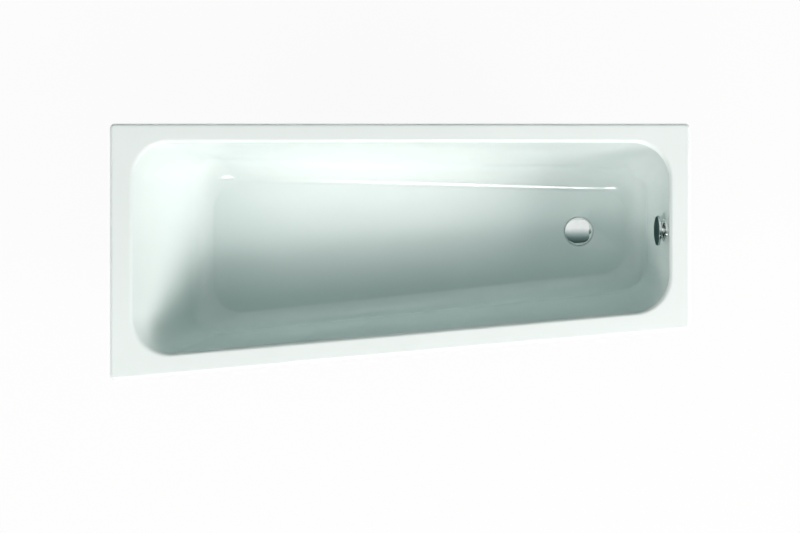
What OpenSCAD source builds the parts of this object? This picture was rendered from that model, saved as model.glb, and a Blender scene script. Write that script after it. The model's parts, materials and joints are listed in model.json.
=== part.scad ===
// Space-saving bathtub of enamelled steel that narrows towards its drain end.
// X runs along the tub, with the head end at -X and the drain end at +X.
// Y points to the wall side, Z points up, and Z = 0 is the room's floor.

/* [Tub] */
// Length over the rim
tub_length = 1700; // [1650:10:1800]
// Width over the rim at the head end
head_width = 750; // [730:5:800]
// Width over the rim at the drain end
foot_width = 600; // [590:5:660]
// Height of the rim above the room's floor
rim_height = 565; // [560:1:590]
// Depth of the well below the rim, at the head end of its floor
well_depth = 400; // [385:1:402]
// Fall of the well's floor towards the drain end
floor_fall = 8; // [5:1:10]
// Thickness of the enamelled sheet
sheet = 3; // [2.5:0.1:3.5]

/* [Rim] */
// Width of the rim at the head end
head_rim = 63.5; // [54:0.5:70]
// Width of the rim at the drain end
foot_rim = 59.5; // [54:0.5:63]
// Width of the rim along the wall side
back_rim = 54.5; // [48:0.5:58]
// Width of the rim along the front
front_rim = 60.5; // [50:0.5:63]
// Height of the folded edge below the rim's top
apron_height = 34; // [26:1:40]
// Radius of the fold between rim and edge
fold_r = 9; // [6:1:11]
// Radius of the rim's corners, seen from above
rim_corner_r = 14; // [12:1:30]

/* [Well] */
// Slope of the backrest, from upright
head_tilt = 24.7; // [22:0.1:28]
// Slope of the wall at the drain end, from upright
foot_tilt = 8.2; // [7:0.1:9]
// Slope of the two long walls, from upright
side_tilt = 8.7; // [8:0.1:10]
// Radius between the rim and the walls
mouth_r = 12; // [11:1:18]
// Radius of the mouth's corners, seen from above
mouth_corner_r = 112; // [95:1:130]
// Radius of the floor's corners, seen from above
floor_corner_r = 82; // [70:1:95]
// Radius between the floor and the backrest
head_fillet = 90; // [80:1:100]
// Radius between the floor and the drain end's wall
foot_fillet = 70; // [64:1:74]
// Radius between the floor and the wall on the wall side
back_fillet = 92; // [84:1:96]
// Radius between the floor and the front wall
front_fillet = 72.5; // [62:0.5:80]
// Angle at which these radii meet the floor, which shows as a crease
crease_angle = 12; // [8:1:15]
// Turn of the floor's front edge about the vertical
floor_front_skew = 6.1; // [5.2:0.1:6.5]
// Turn of the floor's wall-side edge about the vertical
floor_back_skew = 1.5; // [0:0.1:2]

/* [Drain] */
// Distance of the drain's centre from the drain end
drain_in_end = 310; // [300:1:320]
// Distance of the drain's centre from the wall side
drain_in_back = 313; // [307:1:319]
// Radius of the pressed dish round the drain
dish_r = 44; // [43:0.5:48]
// Depth of the pressed dish
dish_depth = 5; // [4:0.5:6]
// Radius of the hole in the dish
drain_bore_r = 26; // [26:0.1:26.5]
// Radius of the plug's cover
cover_r = 40.5; // [38:0.5:41.5]
// Rise of the cover's dome
cover_rise = 6; // [5:0.5:7]
// Lift of the plug when the knob is turned
plug_lift = 10; // [7:0.5:10]
// Radius of the waste pipe
pipe_r = 20; // [19:0.5:21]
// Wall of the plastic fittings and pipes
plastic_wall = 2; // [1.6:0.1:2.2]
// Radius of the trap's bend
trap_bend_r = 32; // [30:1:34]

/* [Overflow] */
// Depth of the overflow's centre below the rim, down the sloping wall
overflow_drop = 76; // [72:1:84]
// Radius of the turning knob
knob_r = 43.5; // [38:0.5:46]
// Thickness of the turning knob
knob_t = 7; // [6:0.5:9]
// Radius of the rosette behind the knob
rosette_r = 33; // [31:0.5:36]
// Distance from the wall to the back of the knob
knob_standoff = 17; // [15:0.5:20]
// Radius of the neck between rosette and knob
neck_r = 23.5; // [23:0.1:24]
// Outer radius of the hose's ribs
rib_r = 16; // [15:0.5:17]
// Number of ribs on the hose
rib_count = 66; // [50:1:80]
// Radius of the hose's bend
hose_bend_r = 90; // [84:1:94]

/* [Supports] */
// Distance of the head rail from the head end
head_rail_in = 470; // [430:5:510]
// Distance of the drain-end rail from the drain end
foot_rail_in = 520; // [490:5:550]
// Clearance between a leg and the well beside it, with the leg screwed in
leg_gap = 15; // [13:1:25]
// Width of a rail
rail_w = 40; // [36:1:46]
// Height of a rail
rail_h = 24; // [20:1:28]
// Sheet thickness of a rail
rail_t = 2.5; // [2:0.5:3]
// Radius of a leg's threaded rod
rod_r = 5; // [4.5:0.1:6]
// Radius of a leg's foot
foot_r = 23; // [19:1:28]
// Height of a leg's foot
foot_h = 13; // [10:1:16]
// How far a leg can be screwed out from its rest height
leg_out = 40; // [20:1:40]

/* [Hidden] */
$fn = 64;

// Overrun of a cut, play of a running fit, gap between two moving faces, and film of glue or sealant
eps = 1;
running_play = 0.06;
loose_play = 0.3;
glue_gap = 0.02;
corner_steps = 11;

// Sides in the order drain end, wall side, head end, front
m_foot = tub_length / 2 - foot_rim;
m_head = tub_length / 2 - head_rim;
edge_back = head_width / 2;
rim_skew = atan((head_width - foot_width) / tub_length);
// The front edge's distance at the tub's middle lets the rounded corner reach the full width
edge_front = edge_back - (tub_length / 2 - rim_corner_r) * tan(rim_skew)
  + rim_corner_r * (1 / cos(rim_skew) - 1);
m_back = edge_back - back_rim;
m_front = edge_front - front_rim;
tilts = [foot_tilt, side_tilt, head_tilt, side_tilt];
fillets = [foot_fillet, back_fillet, head_fillet, front_fillet];
mouth_lines = [m_foot, m_back, m_head, m_front];

// Places that keep their distance from the tub's edges
drain_x = tub_length / 2 - drain_in_end;
drain_y = edge_back - drain_in_back;
head_rail_x = head_rail_in - tub_length / 2;
foot_rail_x = tub_length / 2 - foot_rail_in;

// Inset of a wall at a depth below the rim, for the face that lies off below the enamel
function fillet_depth(R) = well_depth - R * cos(crease_angle);
function fillet_inset(a, R) = fillet_depth(R) * tan(a) + R / cos(a);
function wall_inset(u, a, R, off) =
  let (arc_r = mouth_r - off, floor_r = R + off, uc = fillet_depth(R))
  u < mouth_r - arc_r * sin(a)
    ? mouth_r * (sin(a) - 1) / cos(a) + sqrt(max(0, arc_r * arc_r - (mouth_r - u) * (mouth_r - u)))
    : u < uc + floor_r * sin(a)
      ? u * tan(a) - off / cos(a)
      : fillet_inset(a, R) - sqrt(max(0, floor_r * floor_r - (u - uc) * (u - uc)));

// Where the walls end and the floor's radii begin, and the ends of the floor
wall_end = fillet_depth(back_fillet) + back_fillet * sin(side_tilt);
floor_head = -(m_head - wall_inset(well_depth, head_tilt, head_fillet, 0));
floor_foot = m_foot - wall_inset(well_depth, foot_tilt, foot_fillet, 0);
floor_run = floor_foot - floor_head;
fall_angle = atan(floor_fall / floor_run);
function floor_top(x) = rim_height - well_depth - floor_fall * (x - floor_head) / floor_run;
function floor_under(x) = floor_top(x) - sheet;
function depth_share(u) = min(1, max(0, (u - wall_end) / (well_depth - wall_end)));

// A ring is four straight sides with given normals and supports, and round corners
function corner_centre(n1, d1, n2, d2, r) =
  [(d1 - r) * sin(n2) - (d2 - r) * sin(n1), (d2 - r) * cos(n1) - (d1 - r) * cos(n2)] / sin(n2 - n1);
function outline(n, d, r) = [
  for (c = [0:3])
    let (n1 = n[c], n2 = c == 3 ? 360 : n[c + 1], cc = corner_centre(n1, d[c], n2, d[(c + 1) % 4], r))
      for (i = [0:corner_steps])
        let (a = n1 + (n2 - n1) * i / corner_steps) cc + r * [cos(a), sin(a)]
];
function edge_ring(inset, z) =
  let (n = [0, 90, 180, 270 + rim_skew])
  [for (p = outline(n, [
      tub_length / 2 - inset,
      edge_back - inset,
      tub_length / 2 - inset,
      (edge_front - inset / cos(rim_skew)) * cos(rim_skew)
    ], rim_corner_r - min(inset, rim_corner_r * 3 / 4)))
    [p[0], p[1], z]];
function well_ring(u, off) =
  let (
    down_share = min(1, u / well_depth),
    back_skew = floor_back_skew * down_share,
    front_skew = rim_skew + (floor_front_skew - rim_skew) * down_share,
    n = [0, 90 - back_skew, 180, 270 + front_skew],
    reach = [for (i = [0:3]) mouth_lines[i] - wall_inset(u, tilts[i], fillets[i], off)],
    d = [reach[0], reach[1] * cos(back_skew), reach[2], reach[3] * cos(front_skew)],
    r = mouth_corner_r + (floor_corner_r - mouth_corner_r) * down_share + off
  )
  [for (p = outline(n, d, r))
    [p[0], p[1], rim_height - u - floor_fall * depth_share(u) * (p[0] - floor_head) / floor_run]];

// Depths of the rings round the mouth's radius, down the wall and round the floor's radius
mouth_angle_shares = [0.96, 0.8, 0.6, 0.4, 0.2, 0];
wall_shares = [0.25, 0.5, 0.75];
floor_angle_shares = [0, 0.2, 0.38, 0.54, 0.68, 0.8, 0.9, 1];
function skin_depths(off) =
  let (
    arc_r = mouth_r - off,
    floor_r = back_fillet + off,
    uc = fillet_depth(back_fillet),
    last = acos((back_fillet * cos(crease_angle) + off) / floor_r),
    low = uc + floor_r * sin(side_tilt),
    high = mouth_r - arc_r * cos(90 * mouth_angle_shares[0])
  )
  concat(
    [for (s = floor_angle_shares) uc + floor_r * cos(last + (90 - side_tilt - last) * s)],
    [for (s = wall_shares) low + (high - low) * s],
    [for (s = mouth_angle_shares) mouth_r - arc_r * cos(90 * s)]
  );
fold_angle_shares = [0, 1 / 4, 1 / 2, 3 / 4, 1];
function fold_rings(off) = [
  for (s = fold_angle_shares)
    edge_ring(fold_r - (fold_r - off) * sin(90 * s), rim_height - fold_r + (fold_r - off) * cos(90 * s))
];
function reversed(list) = [for (i = [len(list) - 1:-1:0]) list[i]];

shell_rings = concat(
  [for (u = skin_depths(0)) well_ring(u, 0)],
  fold_rings(0),
  [edge_ring(0, rim_height - apron_height)],
  [edge_ring(sheet, rim_height - apron_height)],
  reversed(fold_rings(sheet)),
  [for (u = reversed(skin_depths(sheet))) well_ring(u, sheet)]
);

// Closed skin over a list of rings that each hold the same number of points. In a folded skin the
// second half of the rings lies under the first, so that its quads are split along the same lines.
module skin(rings, looped = false, folded = false) {
  n = len(rings[0]);
  m = len(rings);
  last = looped ? m - 1 : m - 2;
  sides = [
    for (j = [0:last], i = [0:n - 1])
      let (a = j * n + i, b = j * n + (i + 1) % n, c = ((j + 1) % m) * n + (i + 1) % n, d = ((j + 1) % m) * n + i)
        each (folded && j >= m / 2 ? [[a, b, d], [b, c, d]] : [[a, b, c], [a, c, d]])
  ];
  caps = looped ? [] : [[for (i = [n - 1:-1:0]) i], [for (i = [0:n - 1]) (m - 1) * n + i]];
  polyhedron(points = [for (ring = rings) each ring], faces = concat(sides, caps), convexity = 10);
}

module tube(r_out, r_in, h) {
  difference() {
    cylinder(r = r_out, h = h);
    translate([0, 0, -eps])
      cylinder(r = r_in, h = h + 2 * eps);
  }
}

// Levels round the drain
dish_z = floor_top(drain_x) - dish_depth;
dish_under = dish_z - sheet;
seal_t = 1;
flange_t = 2;
flange_top = dish_z + seal_t + flange_t;
flange_r = dish_r - 1.5;
flange_neck_r = drain_bore_r - 0.3;
flange_neck_in = drain_bore_r - 3.5;
gasket_t = 3;
body_top = dish_under - gasket_t;
body_rim_r = 38;
body_rim_t = 4;
body_r = 30;
body_in = drain_bore_r;
port_z = body_top - 29;
body_floor = port_z - 22;
body_floor_t = 4;
hub_h = 5;
stem_r = 3;
pin_r = 4;
pin_top = port_z + 9;
pin_bottom = pin_top - 16.6;
pin_hub_z = port_z + 3.5;
pin_hub_h = 5;
hub_wall = 3;
spoke_w = 3;
spoke_h = 4;
hub_gap = 2;
hub_z = pin_top + plug_lift + hub_gap;
neck_bottom = hub_z - hub_gap;

module at_drain() {
  translate([drain_x, drain_y, 0])
    children();
}

// Frame of the overflow: local Z leaves the wall into the tub, local X points up the wall
overflow_u = overflow_drop * cos(foot_tilt);
overflow_x = m_foot - overflow_u * tan(foot_tilt);
overflow_z = rim_height - overflow_u;
overflow_bore_r = 26;
module at_overflow() {
  translate([overflow_x, drain_y, overflow_z])
    rotate([0, foot_tilt - 90, 0])
      children();
}

module tub_shell() {
  color([0.95, 0.97, 0.96])
    difference() {
      union() {
        skin(shell_rings, folded = true);
        at_drain()
          translate([0, 0, dish_under])
            cylinder(r = dish_r + sheet, h = dish_depth + sheet / 2);
      }
      at_drain()
        translate([0, 0, dish_z])
          cylinder(r = dish_r, h = dish_depth + sheet);
      at_drain()
        translate([0, 0, dish_under - eps])
          cylinder(r = drain_bore_r, h = sheet + 2 * eps);
      at_overflow()
        translate([0, 0, -sheet - eps])
          cylinder(r = overflow_bore_r, h = sheet + 2 * eps);
    }
}

// Sound-damping sheets glued under the floor
pad_t = 3;
pad_w = 200;
pad_gap = 95;
pad_lengths = [110, foot_rail_x - head_rail_x - rail_w - 2 * pad_gap, 70];
pad_centres = [head_rail_x - 95, (head_rail_x + foot_rail_x) / 2, foot_rail_x + 75];
module damping_pads() {
  color([0.22, 0.22, 0.23])
    for (i = [0:len(pad_lengths) - 1])
      translate([pad_centres[i], mid_y(pad_centres[i]), floor_under(pad_centres[i])])
        rotate([0, fall_angle, 0])
          translate([-pad_lengths[i] / 2, -pad_w / 2, -pad_t])
            cube([pad_lengths[i], pad_w, pad_t - glue_gap]);
}

// Angled lug for the bonding wire, welded under the rim, with its hole facing down
tag_w = 26;
tag_t = 3;
tag_h = 24;
tag_reach = 25;
tag_hole_r = 3.25;
tag_x = drain_x + 120;
tag_gap = 4;
tag_back = edge_back - sheet - tag_gap;
tag_z = rim_height - sheet - tag_h;
module earth_tag() {
  color([0.72, 0.73, 0.74])
    difference() {
      union() {
        translate([tag_x - tag_w / 2, tag_back - tag_reach, tag_z])
          cube([tag_w, tag_t, tag_h]);
        translate([tag_x - tag_w / 2, tag_back - tag_reach, tag_z])
          cube([tag_w, tag_reach, tag_t]);
      }
      translate([tag_x, tag_back - (tag_reach - tag_t) / 2, tag_z - eps])
        cylinder(r = tag_hole_r, h = tag_t + 2 * eps);
    }
}

module drain_flange_seal() {
  color([0.1, 0.1, 0.1])
    at_drain()
      translate([0, 0, dish_z])
        tube(flange_r - 1, drain_bore_r, seal_t);
}

module spokes(count, reach, width, height) {
  for (i = [0:count - 1])
    rotate([0, 0, i * 360 / count])
      translate([0, -width / 2, 0])
        cube([reach, width, height]);
}

module drain_flange() {
  color([0.8, 0.81, 0.82])
    at_drain()
      difference() {
        union() {
          translate([0, 0, flange_top - flange_t])
            tube(flange_r, flange_neck_in, flange_t);
          translate([0, 0, neck_bottom])
            tube(flange_neck_r, flange_neck_in, flange_top - neck_bottom);
          translate([0, 0, hub_z])
            spokes(4, flange_neck_in + 1, spoke_w, spoke_h);
          translate([0, 0, hub_z])
            cylinder(r = stem_r + hub_wall, h = hub_h);
        }
        translate([0, 0, hub_z - eps])
          cylinder(r = stem_r + running_play, h = hub_h + 2 * eps);
      }
}

module waste_gasket() {
  color([0.12, 0.12, 0.12])
    at_drain()
      translate([0, 0, body_top])
        tube(body_rim_r - 1, drain_bore_r, gasket_t);
}

// Threaded spigots, the side port for the hose and the box of the cable's crank
thread_t = 4;
spigot_r = pipe_r + thread_t;
spigot_h = 14;
washer_t = 4;
cuff_r = 14;
port_r = cuff_r + thread_t;
port_reach = body_r + 20;
cable_y = 27;
sheath_r = 2.5;
gland_r = 4.5;
gland_reach = body_r + 18;
rocker_x = 2 * plug_lift;
rocker_z = port_z - 12;
rocker_shaft_r = 3;
crank_box_x = [rocker_x - 13, rocker_x + 13];
crank_box_y = [22, 33];
crank_box_z = [rocker_z - 7, port_z + 6];
crank_box_wall = 2;

module box_between(x, y, z, grow) {
  translate([x[0] - grow, y[0] - grow, z[0] - grow])
    cube([x[1] - x[0] + 2 * grow, y[1] - y[0] + 2 * grow, z[1] - z[0] + 2 * grow]);
}

module waste_body() {
  color([0.2, 0.21, 0.22])
    at_drain()
      difference() {
        union() {
          translate([0, 0, body_top - body_rim_t])
            cylinder(r = body_rim_r, h = body_rim_t);
          translate([0, 0, body_floor])
            cylinder(r = body_r, h = body_top - body_floor);
          translate([0, 0, body_floor - spigot_h])
            cylinder(r = spigot_r, h = spigot_h);
          translate([0, 0, port_z])
            rotate([0, 90, 0])
              cylinder(r = port_r, h = port_reach);
          box_between(crank_box_x, crank_box_y, crank_box_z, crank_box_wall);
          translate([crank_box_x[1], cable_y, port_z])
            rotate([0, 90, 0])
              cylinder(r = gland_r, h = gland_reach - crank_box_x[1]);
        }
        difference() {
          translate([0, 0, body_floor + body_floor_t])
            cylinder(r = body_in, h = body_top - body_floor);
          translate([0, 0, pin_hub_z])
            union() {
              cylinder(r = pin_r + hub_wall, h = pin_hub_h);
              rotate([0, 0, 90])
                spokes(2, body_in + 1, spoke_w, spoke_h);
              rotate([0, 0, 180])
                spokes(1, body_in + 1, spoke_w, spoke_h);
            }
        }
        translate([0, 0, pin_hub_z - eps])
          cylinder(r = pin_r + running_play, h = pin_hub_h + 2 * eps);
        translate([0, 0, body_floor - spigot_h - eps])
          cylinder(r = pipe_r + loose_play, h = spigot_h + body_floor_t + 2 * eps);
        translate([body_in - body_floor_t, 0, port_z])
          rotate([0, 90, 0])
            cylinder(r = cuff_r + loose_play, h = port_reach);
        box_between(crank_box_x, [crank_box_y[0] + crank_box_wall, crank_box_y[1]], crank_box_z, 0);
        translate([rocker_x, 0, rocker_z])
          rotate([-90, 0, 0])
            cylinder(r = rocker_shaft_r + running_play, h = crank_box_y[1]);
        translate([crank_box_x[1] - eps, cable_y, port_z])
          rotate([0, 90, 0])
            cylinder(r = sheath_r + running_play, h = gland_reach);
      }
}

// Plug: domed cover, rubber ring, and a stem that the lift pin pushes up
cover_gap = 1;
cover_edge = 2.5;
cover_wall = 2;
plug_seal_t = 2;
plug_disc_r = 28;
plug_disc_t = 2;
cover_base = flange_top + cover_gap;
cover_top = cover_base + cover_edge + cover_rise;
cover_steps = 10;
function dome(r, rise, z) =
  let (big_r = (r * r + rise * rise) / (2 * rise), half = asin(r / big_r))
  [for (i = [0:cover_steps])
    let (a = half * i / cover_steps) [big_r * sin(a), z - big_r * (1 - cos(a))]];

module plug_cover() {
  color([0.86, 0.87, 0.88])
    at_drain()
      rotate_extrude()
        polygon(concat(
          dome(cover_r, cover_rise, cover_top),
          [[cover_r, cover_base], [cover_r - cover_wall, cover_base]],
          reversed(dome(cover_r - cover_wall, cover_rise, cover_top - cover_wall))
        ));
}

module plug_seal() {
  color([0.08, 0.08, 0.08])
    at_drain()
      translate([0, 0, flange_top])
        tube(plug_disc_r + 1, flange_neck_in - 2, plug_seal_t);
}

module plug_stem() {
  color([0.75, 0.76, 0.77])
    at_drain()
      union() {
        translate([0, 0, flange_top + plug_seal_t])
          cylinder(r = plug_disc_r, h = plug_disc_t);
        translate([0, 0, flange_top + plug_seal_t])
          cylinder(r = 2 * pin_r, h = cover_top - cover_wall - flange_top - plug_seal_t - loose_play);
        translate([0, 0, pin_top + loose_play])
          cylinder(r = stem_r, h = flange_top + plug_seal_t - pin_top);
      }
}

module lift_pin() {
  color([0.75, 0.76, 0.77])
    at_drain()
      translate([0, 0, pin_bottom])
        cylinder(r = pin_r, h = pin_top - pin_bottom);
}

// The rocker's nose lifts the pin, and its crank in the side box is pulled by the cable
nose_r = pin_bottom - rocker_z - 0.4;
arm_w = 7;
arm_t = 4;
crank_w = 4;
module lift_rocker() {
  color([0.88, 0.88, 0.86])
    at_drain()
      translate([0, 0, rocker_z])
        union() {
          translate([0, arm_w / 2, 0])
            rotate([90, 0, 0])
              cylinder(r = nose_r, h = arm_w);
          translate([0, -arm_w / 2, -arm_t / 2])
            cube([rocker_x, arm_w, arm_t]);
          translate([rocker_x, -arm_w / 2, 0])
            rotate([-90, 0, 0])
              cylinder(r = rocker_shaft_r, h = cable_y + crank_w / 2 + arm_w / 2);
          translate([rocker_x - crank_w / 2, cable_y - crank_w / 2, 0])
            cube([crank_w, crank_w, port_z - rocker_z]);
        }
}

// Union nuts and their sealing washers
nut_wall = 4;
nut_lip = 3;
nut_ribs = 12;
rib_w = 3;
rib_h = 1;
module union_nut(thread_r, hole_r, h) {
  difference() {
    union() {
      cylinder(r = thread_r + nut_wall - rib_h, h = h);
      for (i = [0:nut_ribs - 1])
        rotate([0, 0, i * 360 / nut_ribs])
          translate([0, -rib_w / 2, 0])
            cube([thread_r + nut_wall, rib_w, h]);
    }
    translate([0, 0, nut_lip])
      cylinder(r = thread_r + loose_play, h = h);
    translate([0, 0, -eps])
      cylinder(r = hole_r + loose_play, h = h + 2 * eps);
  }
}
nut_h = nut_lip + washer_t + 10;
spigot_end = body_floor - spigot_h;

module trap_inlet_washer() {
  color([0.15, 0.15, 0.15])
    at_drain()
      translate([0, 0, spigot_end - washer_t])
        tube(spigot_r, pipe_r + running_play, washer_t);
}

module trap_inlet_nut() {
  color([0.93, 0.93, 0.92])
    at_drain()
      translate([0, 0, spigot_end - washer_t - nut_lip])
        union_nut(spigot_r, pipe_r, nut_h);
}

// Trap: a leg down, a half turn, a quarter turn to the wall side and a socket
trap_z = spigot_end - 14;
trap_out_y = 2 * trap_bend_r + trap_bend_r;
outlet_z = trap_z + trap_bend_r;
socket_len = 16;

module pipe_section(hole) {
  translate([trap_bend_r, 0])
    difference() {
      circle(r = pipe_r);
      if (hole)
        circle(r = pipe_r - plastic_wall);
    }
}

module trap_bend() {
  color([0.93, 0.93, 0.92])
    at_drain() {
      difference() {
        union() {
          translate([0, 0, trap_z])
            tube(pipe_r, pipe_r - plastic_wall, body_floor - trap_z - spigot_h / 3);
          translate([0, trap_bend_r, trap_z])
            rotate([0, 90, 0])
              rotate([0, 0, -90])
                rotate_extrude(angle = 180)
                  pipe_section(true);
          translate([0, trap_out_y, trap_z])
            rotate([0, 90, 0])
              rotate([0, 0, -180])
                rotate_extrude(angle = 90)
                  pipe_section(true);
          translate([0, trap_out_y, outlet_z])
            rotate([-90, 0, 0])
              tube(spigot_r, pipe_r + loose_play, socket_len);
          translate([0, trap_out_y, outlet_z])
            rotate([-90, 0, 0])
              tube(spigot_r, pipe_r - plastic_wall, plastic_wall);
        }
      }
    }
}

module at_outlet(y) {
  translate([drain_x, drain_y + trap_out_y + y, outlet_z])
    rotate([-90, 0, 0])
      children();
}

module trap_outlet_washer() {
  color([0.15, 0.15, 0.15])
    at_outlet(socket_len)
      tube(spigot_r, pipe_end_r + running_play, washer_t);
}

module trap_outlet_nut() {
  color([0.93, 0.93, 0.92])
    at_outlet(socket_len + washer_t + nut_lip)
      mirror([0, 0, 1])
        union_nut(spigot_r, pipe_r, nut_h);
}

outlet_in = plastic_wall + loose_play;
pipe_end_r = pipe_r - 1;
outlet_free = 70;
outlet_neck = socket_len + washer_t + nut_lip + 2;
module outlet_pipe() {
  color([0.93, 0.93, 0.92])
    difference() {
      union() {
        at_outlet(outlet_in)
          cylinder(r = pipe_end_r, h = outlet_neck - outlet_in);
        at_outlet(outlet_neck)
          cylinder(r = pipe_r, h = outlet_free);
      }
      at_outlet(outlet_in - eps)
        cylinder(r = pipe_end_r - plastic_wall, h = outlet_neck + outlet_free);
    }
}

// Overflow behind the wall
cup_r = 38;
cup_wall = 3;
cup_depth = 46;
cup_front = sheet + gasket_t;
sleeve_depth = 16;
shaft_r = 5;
shaft_boss_r = 9;
shaft_boss_h = 5;
cup_port_z = -26;
cup_port_reach = cup_r + 18;
cup_gland_reach = cup_r + 4;
rosette_neck_r = overflow_bore_r - 0.4;
rosette_neck_in = overflow_bore_r - 3.5;
rosette_t = 3.5;

module overflow_gasket() {
  color([0.12, 0.12, 0.12])
    at_overflow()
      translate([0, 0, -cup_front])
        tube(cup_r - 1, overflow_bore_r, gasket_t - glue_gap);
}

module overflow_body() {
  color([0.2, 0.21, 0.22])
    at_overflow()
      difference() {
        union() {
          translate([0, 0, -cup_depth])
            cylinder(r = cup_r, h = cup_depth - cup_front);
          translate([0, 0, cup_port_z])
            rotate([0, -90, 0])
              cylinder(r = port_r, h = cup_port_reach);
          translate([0, cable_y, cup_port_z])
            rotate([0, -90, 0])
              cylinder(r = gland_r, h = cup_gland_reach);
        }
        difference() {
          translate([0, 0, -cup_depth + cup_wall])
            cylinder(r = cup_r - cup_wall, h = cup_depth - cup_front - 2 * cup_wall);
          translate([0, 0, -cup_depth])
            cylinder(r = shaft_boss_r, h = cup_wall + shaft_boss_h);
          translate([0, 0, -sleeve_depth])
            tube(overflow_bore_r + 2, rosette_neck_r + running_play, sleeve_depth);
        }
        translate([0, 0, -sleeve_depth])
          cylinder(r = rosette_neck_r + running_play, h = sleeve_depth);
        translate([0, 0, -cup_depth + cup_wall])
          cylinder(r = shaft_r + running_play, h = cup_depth);
        translate([-cup_r + 2 * cup_wall, 0, cup_port_z])
          rotate([0, -90, 0])
            cylinder(r = cuff_r + loose_play, h = cup_port_reach);
        translate([-gland_r, cable_y, cup_port_z])
          rotate([0, -90, 0])
            cylinder(r = sheath_r + running_play, h = cup_gland_reach);
      }
}

// Rosette: flange, threaded neck, bearing for the shaft, and a cage that lets water in
window_count = 4;
window_w = 24;
window_h = 9;
module overflow_rosette() {
  color([0.8, 0.81, 0.82])
    at_overflow()
      difference() {
        union() {
          tube(rosette_r, rosette_neck_in, rosette_t);
          translate([0, 0, -sleeve_depth + eps])
            tube(rosette_neck_r, rosette_neck_in, sleeve_depth);
          translate([0, 0, rosette_t / 2])
            tube(neck_r, neck_r - cup_wall, knob_standoff - rosette_t / 2);
          spokes(3, rosette_neck_in + 1, spoke_w, rosette_t);
          cylinder(r = shaft_r + hub_wall, h = rosette_t);
        }
        translate([0, 0, -eps])
          cylinder(r = shaft_r + running_play, h = knob_standoff);
        for (i = [0:window_count - 1])
          rotate([0, 0, (i + 1 / 2) * 360 / window_count])
            translate([shaft_r + hub_wall, -window_w / 2, rosette_t + eps])
              cube([neck_r, window_w, window_h]);
      }
}

knob_round = 2.5;
module overflow_knob() {
  color([0.86, 0.87, 0.88])
    at_overflow()
      translate([0, 0, knob_standoff + loose_play])
        difference() {
          rotate_extrude()
            polygon(concat(
              [[0, 0], [knob_r - 1, 0], [knob_r, 1]],
              [for (i = [0:4])
                let (a = 90 * i / 4)
                  [knob_r - knob_round * (1 - cos(a)), knob_t - knob_round * (1 - sin(a))]],
              [[0, knob_t]]
            ));
          translate([0, 0, -eps])
            cylinder(r = shaft_r, h = knob_t * 2 / 3 + eps);
        }
}

module knob_shaft() {
  color([0.7, 0.68, 0.55])
    at_overflow()
      translate([0, 0, -cup_depth + cup_wall + loose_play])
        cylinder(r = shaft_r, h = cup_depth - cup_wall + knob_standoff + knob_t * 2 / 3);
}

drum_r = 17;
drum_t = 6;
drum_groove = 1.5;
module cable_drum() {
  color([0.88, 0.88, 0.86])
    at_overflow()
      translate([0, 0, cup_port_z - drum_t / 2])
        difference() {
          cylinder(r = drum_r, h = drum_t);
          translate([0, 0, -eps])
            cylinder(r = shaft_r, h = drum_t + 2 * eps);
          translate([0, 0, drum_t / 3])
            tube(drum_r + eps, drum_r - drum_groove, drum_t / 3);
        }
}

// Route of hose and cable, in the plane of the drain and the overflow: straight down beside
// the wall, round one bend, and straight along to the waste body
function overflow_point(x, z) =
  [overflow_x + x * sin(foot_tilt) - z * cos(foot_tilt), overflow_z + x * cos(foot_tilt) + z * sin(foot_tilt)];
function route(start, end_x) =
  let (
    bend = 90 - foot_tilt,
    first = (start[1] - port_z - hose_bend_r * (1 - sin(foot_tilt))) / cos(foot_tilt),
    bend_x = start[0] - first * sin(foot_tilt) - hose_bend_r * cos(foot_tilt),
    arc = hose_bend_r * bend * PI / 180
  )
  [start, first, arc, bend_x - end_x, bend_x, first + arc + bend_x - end_x];
// Point and heading at a distance along the route
function route_at(path, s) =
  s < path[1]
    ? [path[0] - s * [sin(foot_tilt), cos(foot_tilt)], foot_tilt]
    : s < path[1] + path[2]
      ? let (h = foot_tilt + (s - path[1]) / hose_bend_r * 180 / PI)
        [[path[4], port_z + hose_bend_r] + hose_bend_r * [cos(h), -sin(h)], h]
      : [[path[4] - (s - path[1] - path[2]), port_z], 90];
function route_ring(path, s, r, y, sides) =
  let (f = route_at(path, s))
  [for (i = [0:sides - 1])
    let (a = -360 * i / sides)
      [f[0][0] + r * cos(a) * cos(f[1]), y + r * sin(a), f[0][1] - r * cos(a) * sin(f[1])]];

hose_sides = 8;
hose_in = 11.5;
rib_root_r = rib_r - 2.5;
hose_path = route(overflow_point(-cup_port_reach + spigot_h, cup_port_z), drain_x + port_reach - spigot_h);
hose_len = hose_path[5];
cuff_len = spigot_h + washer_t + nut_lip + 2 * rib_r;
rib_pitch = (hose_len - 2 * cuff_len) / rib_count;
bore_rings = 36;
module overflow_hose() {
  outer = concat(
    [[0, cuff_r], [cuff_len - rib_pitch / 2, cuff_r]],
    [for (i = [0:rib_count - 1]) each [
      [cuff_len + rib_pitch * i, rib_root_r],
      [cuff_len + rib_pitch * (i + 1 / 2), rib_r]
    ]],
    [[hose_len - cuff_len, rib_root_r], [hose_len - cuff_len + rib_pitch / 2, cuff_r], [hose_len, cuff_r]]
  );
  inner = [for (i = [bore_rings:-1:0]) [hose_len * i / bore_rings, hose_in]];
  color([0.3, 0.31, 0.32])
    skin([for (q = concat(outer, inner)) route_ring(hose_path, q[0], q[1], drain_y, hose_sides)], true);
}
echo(hose_length = hose_len, rib_pitch = rib_pitch);

sheath_path = route(overflow_point(-cup_gland_reach + spigot_h / 2, cup_port_z), drain_x + gland_reach - spigot_h / 2);
sheath_rings = 40;
module cable_sheath() {
  color([0.12, 0.12, 0.13])
    skin([
      for (i = [0:sheath_rings])
        route_ring(sheath_path, sheath_path[5] * i / sheath_rings, sheath_r, drain_y + cable_y, hose_sides)
    ]);
}

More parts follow.
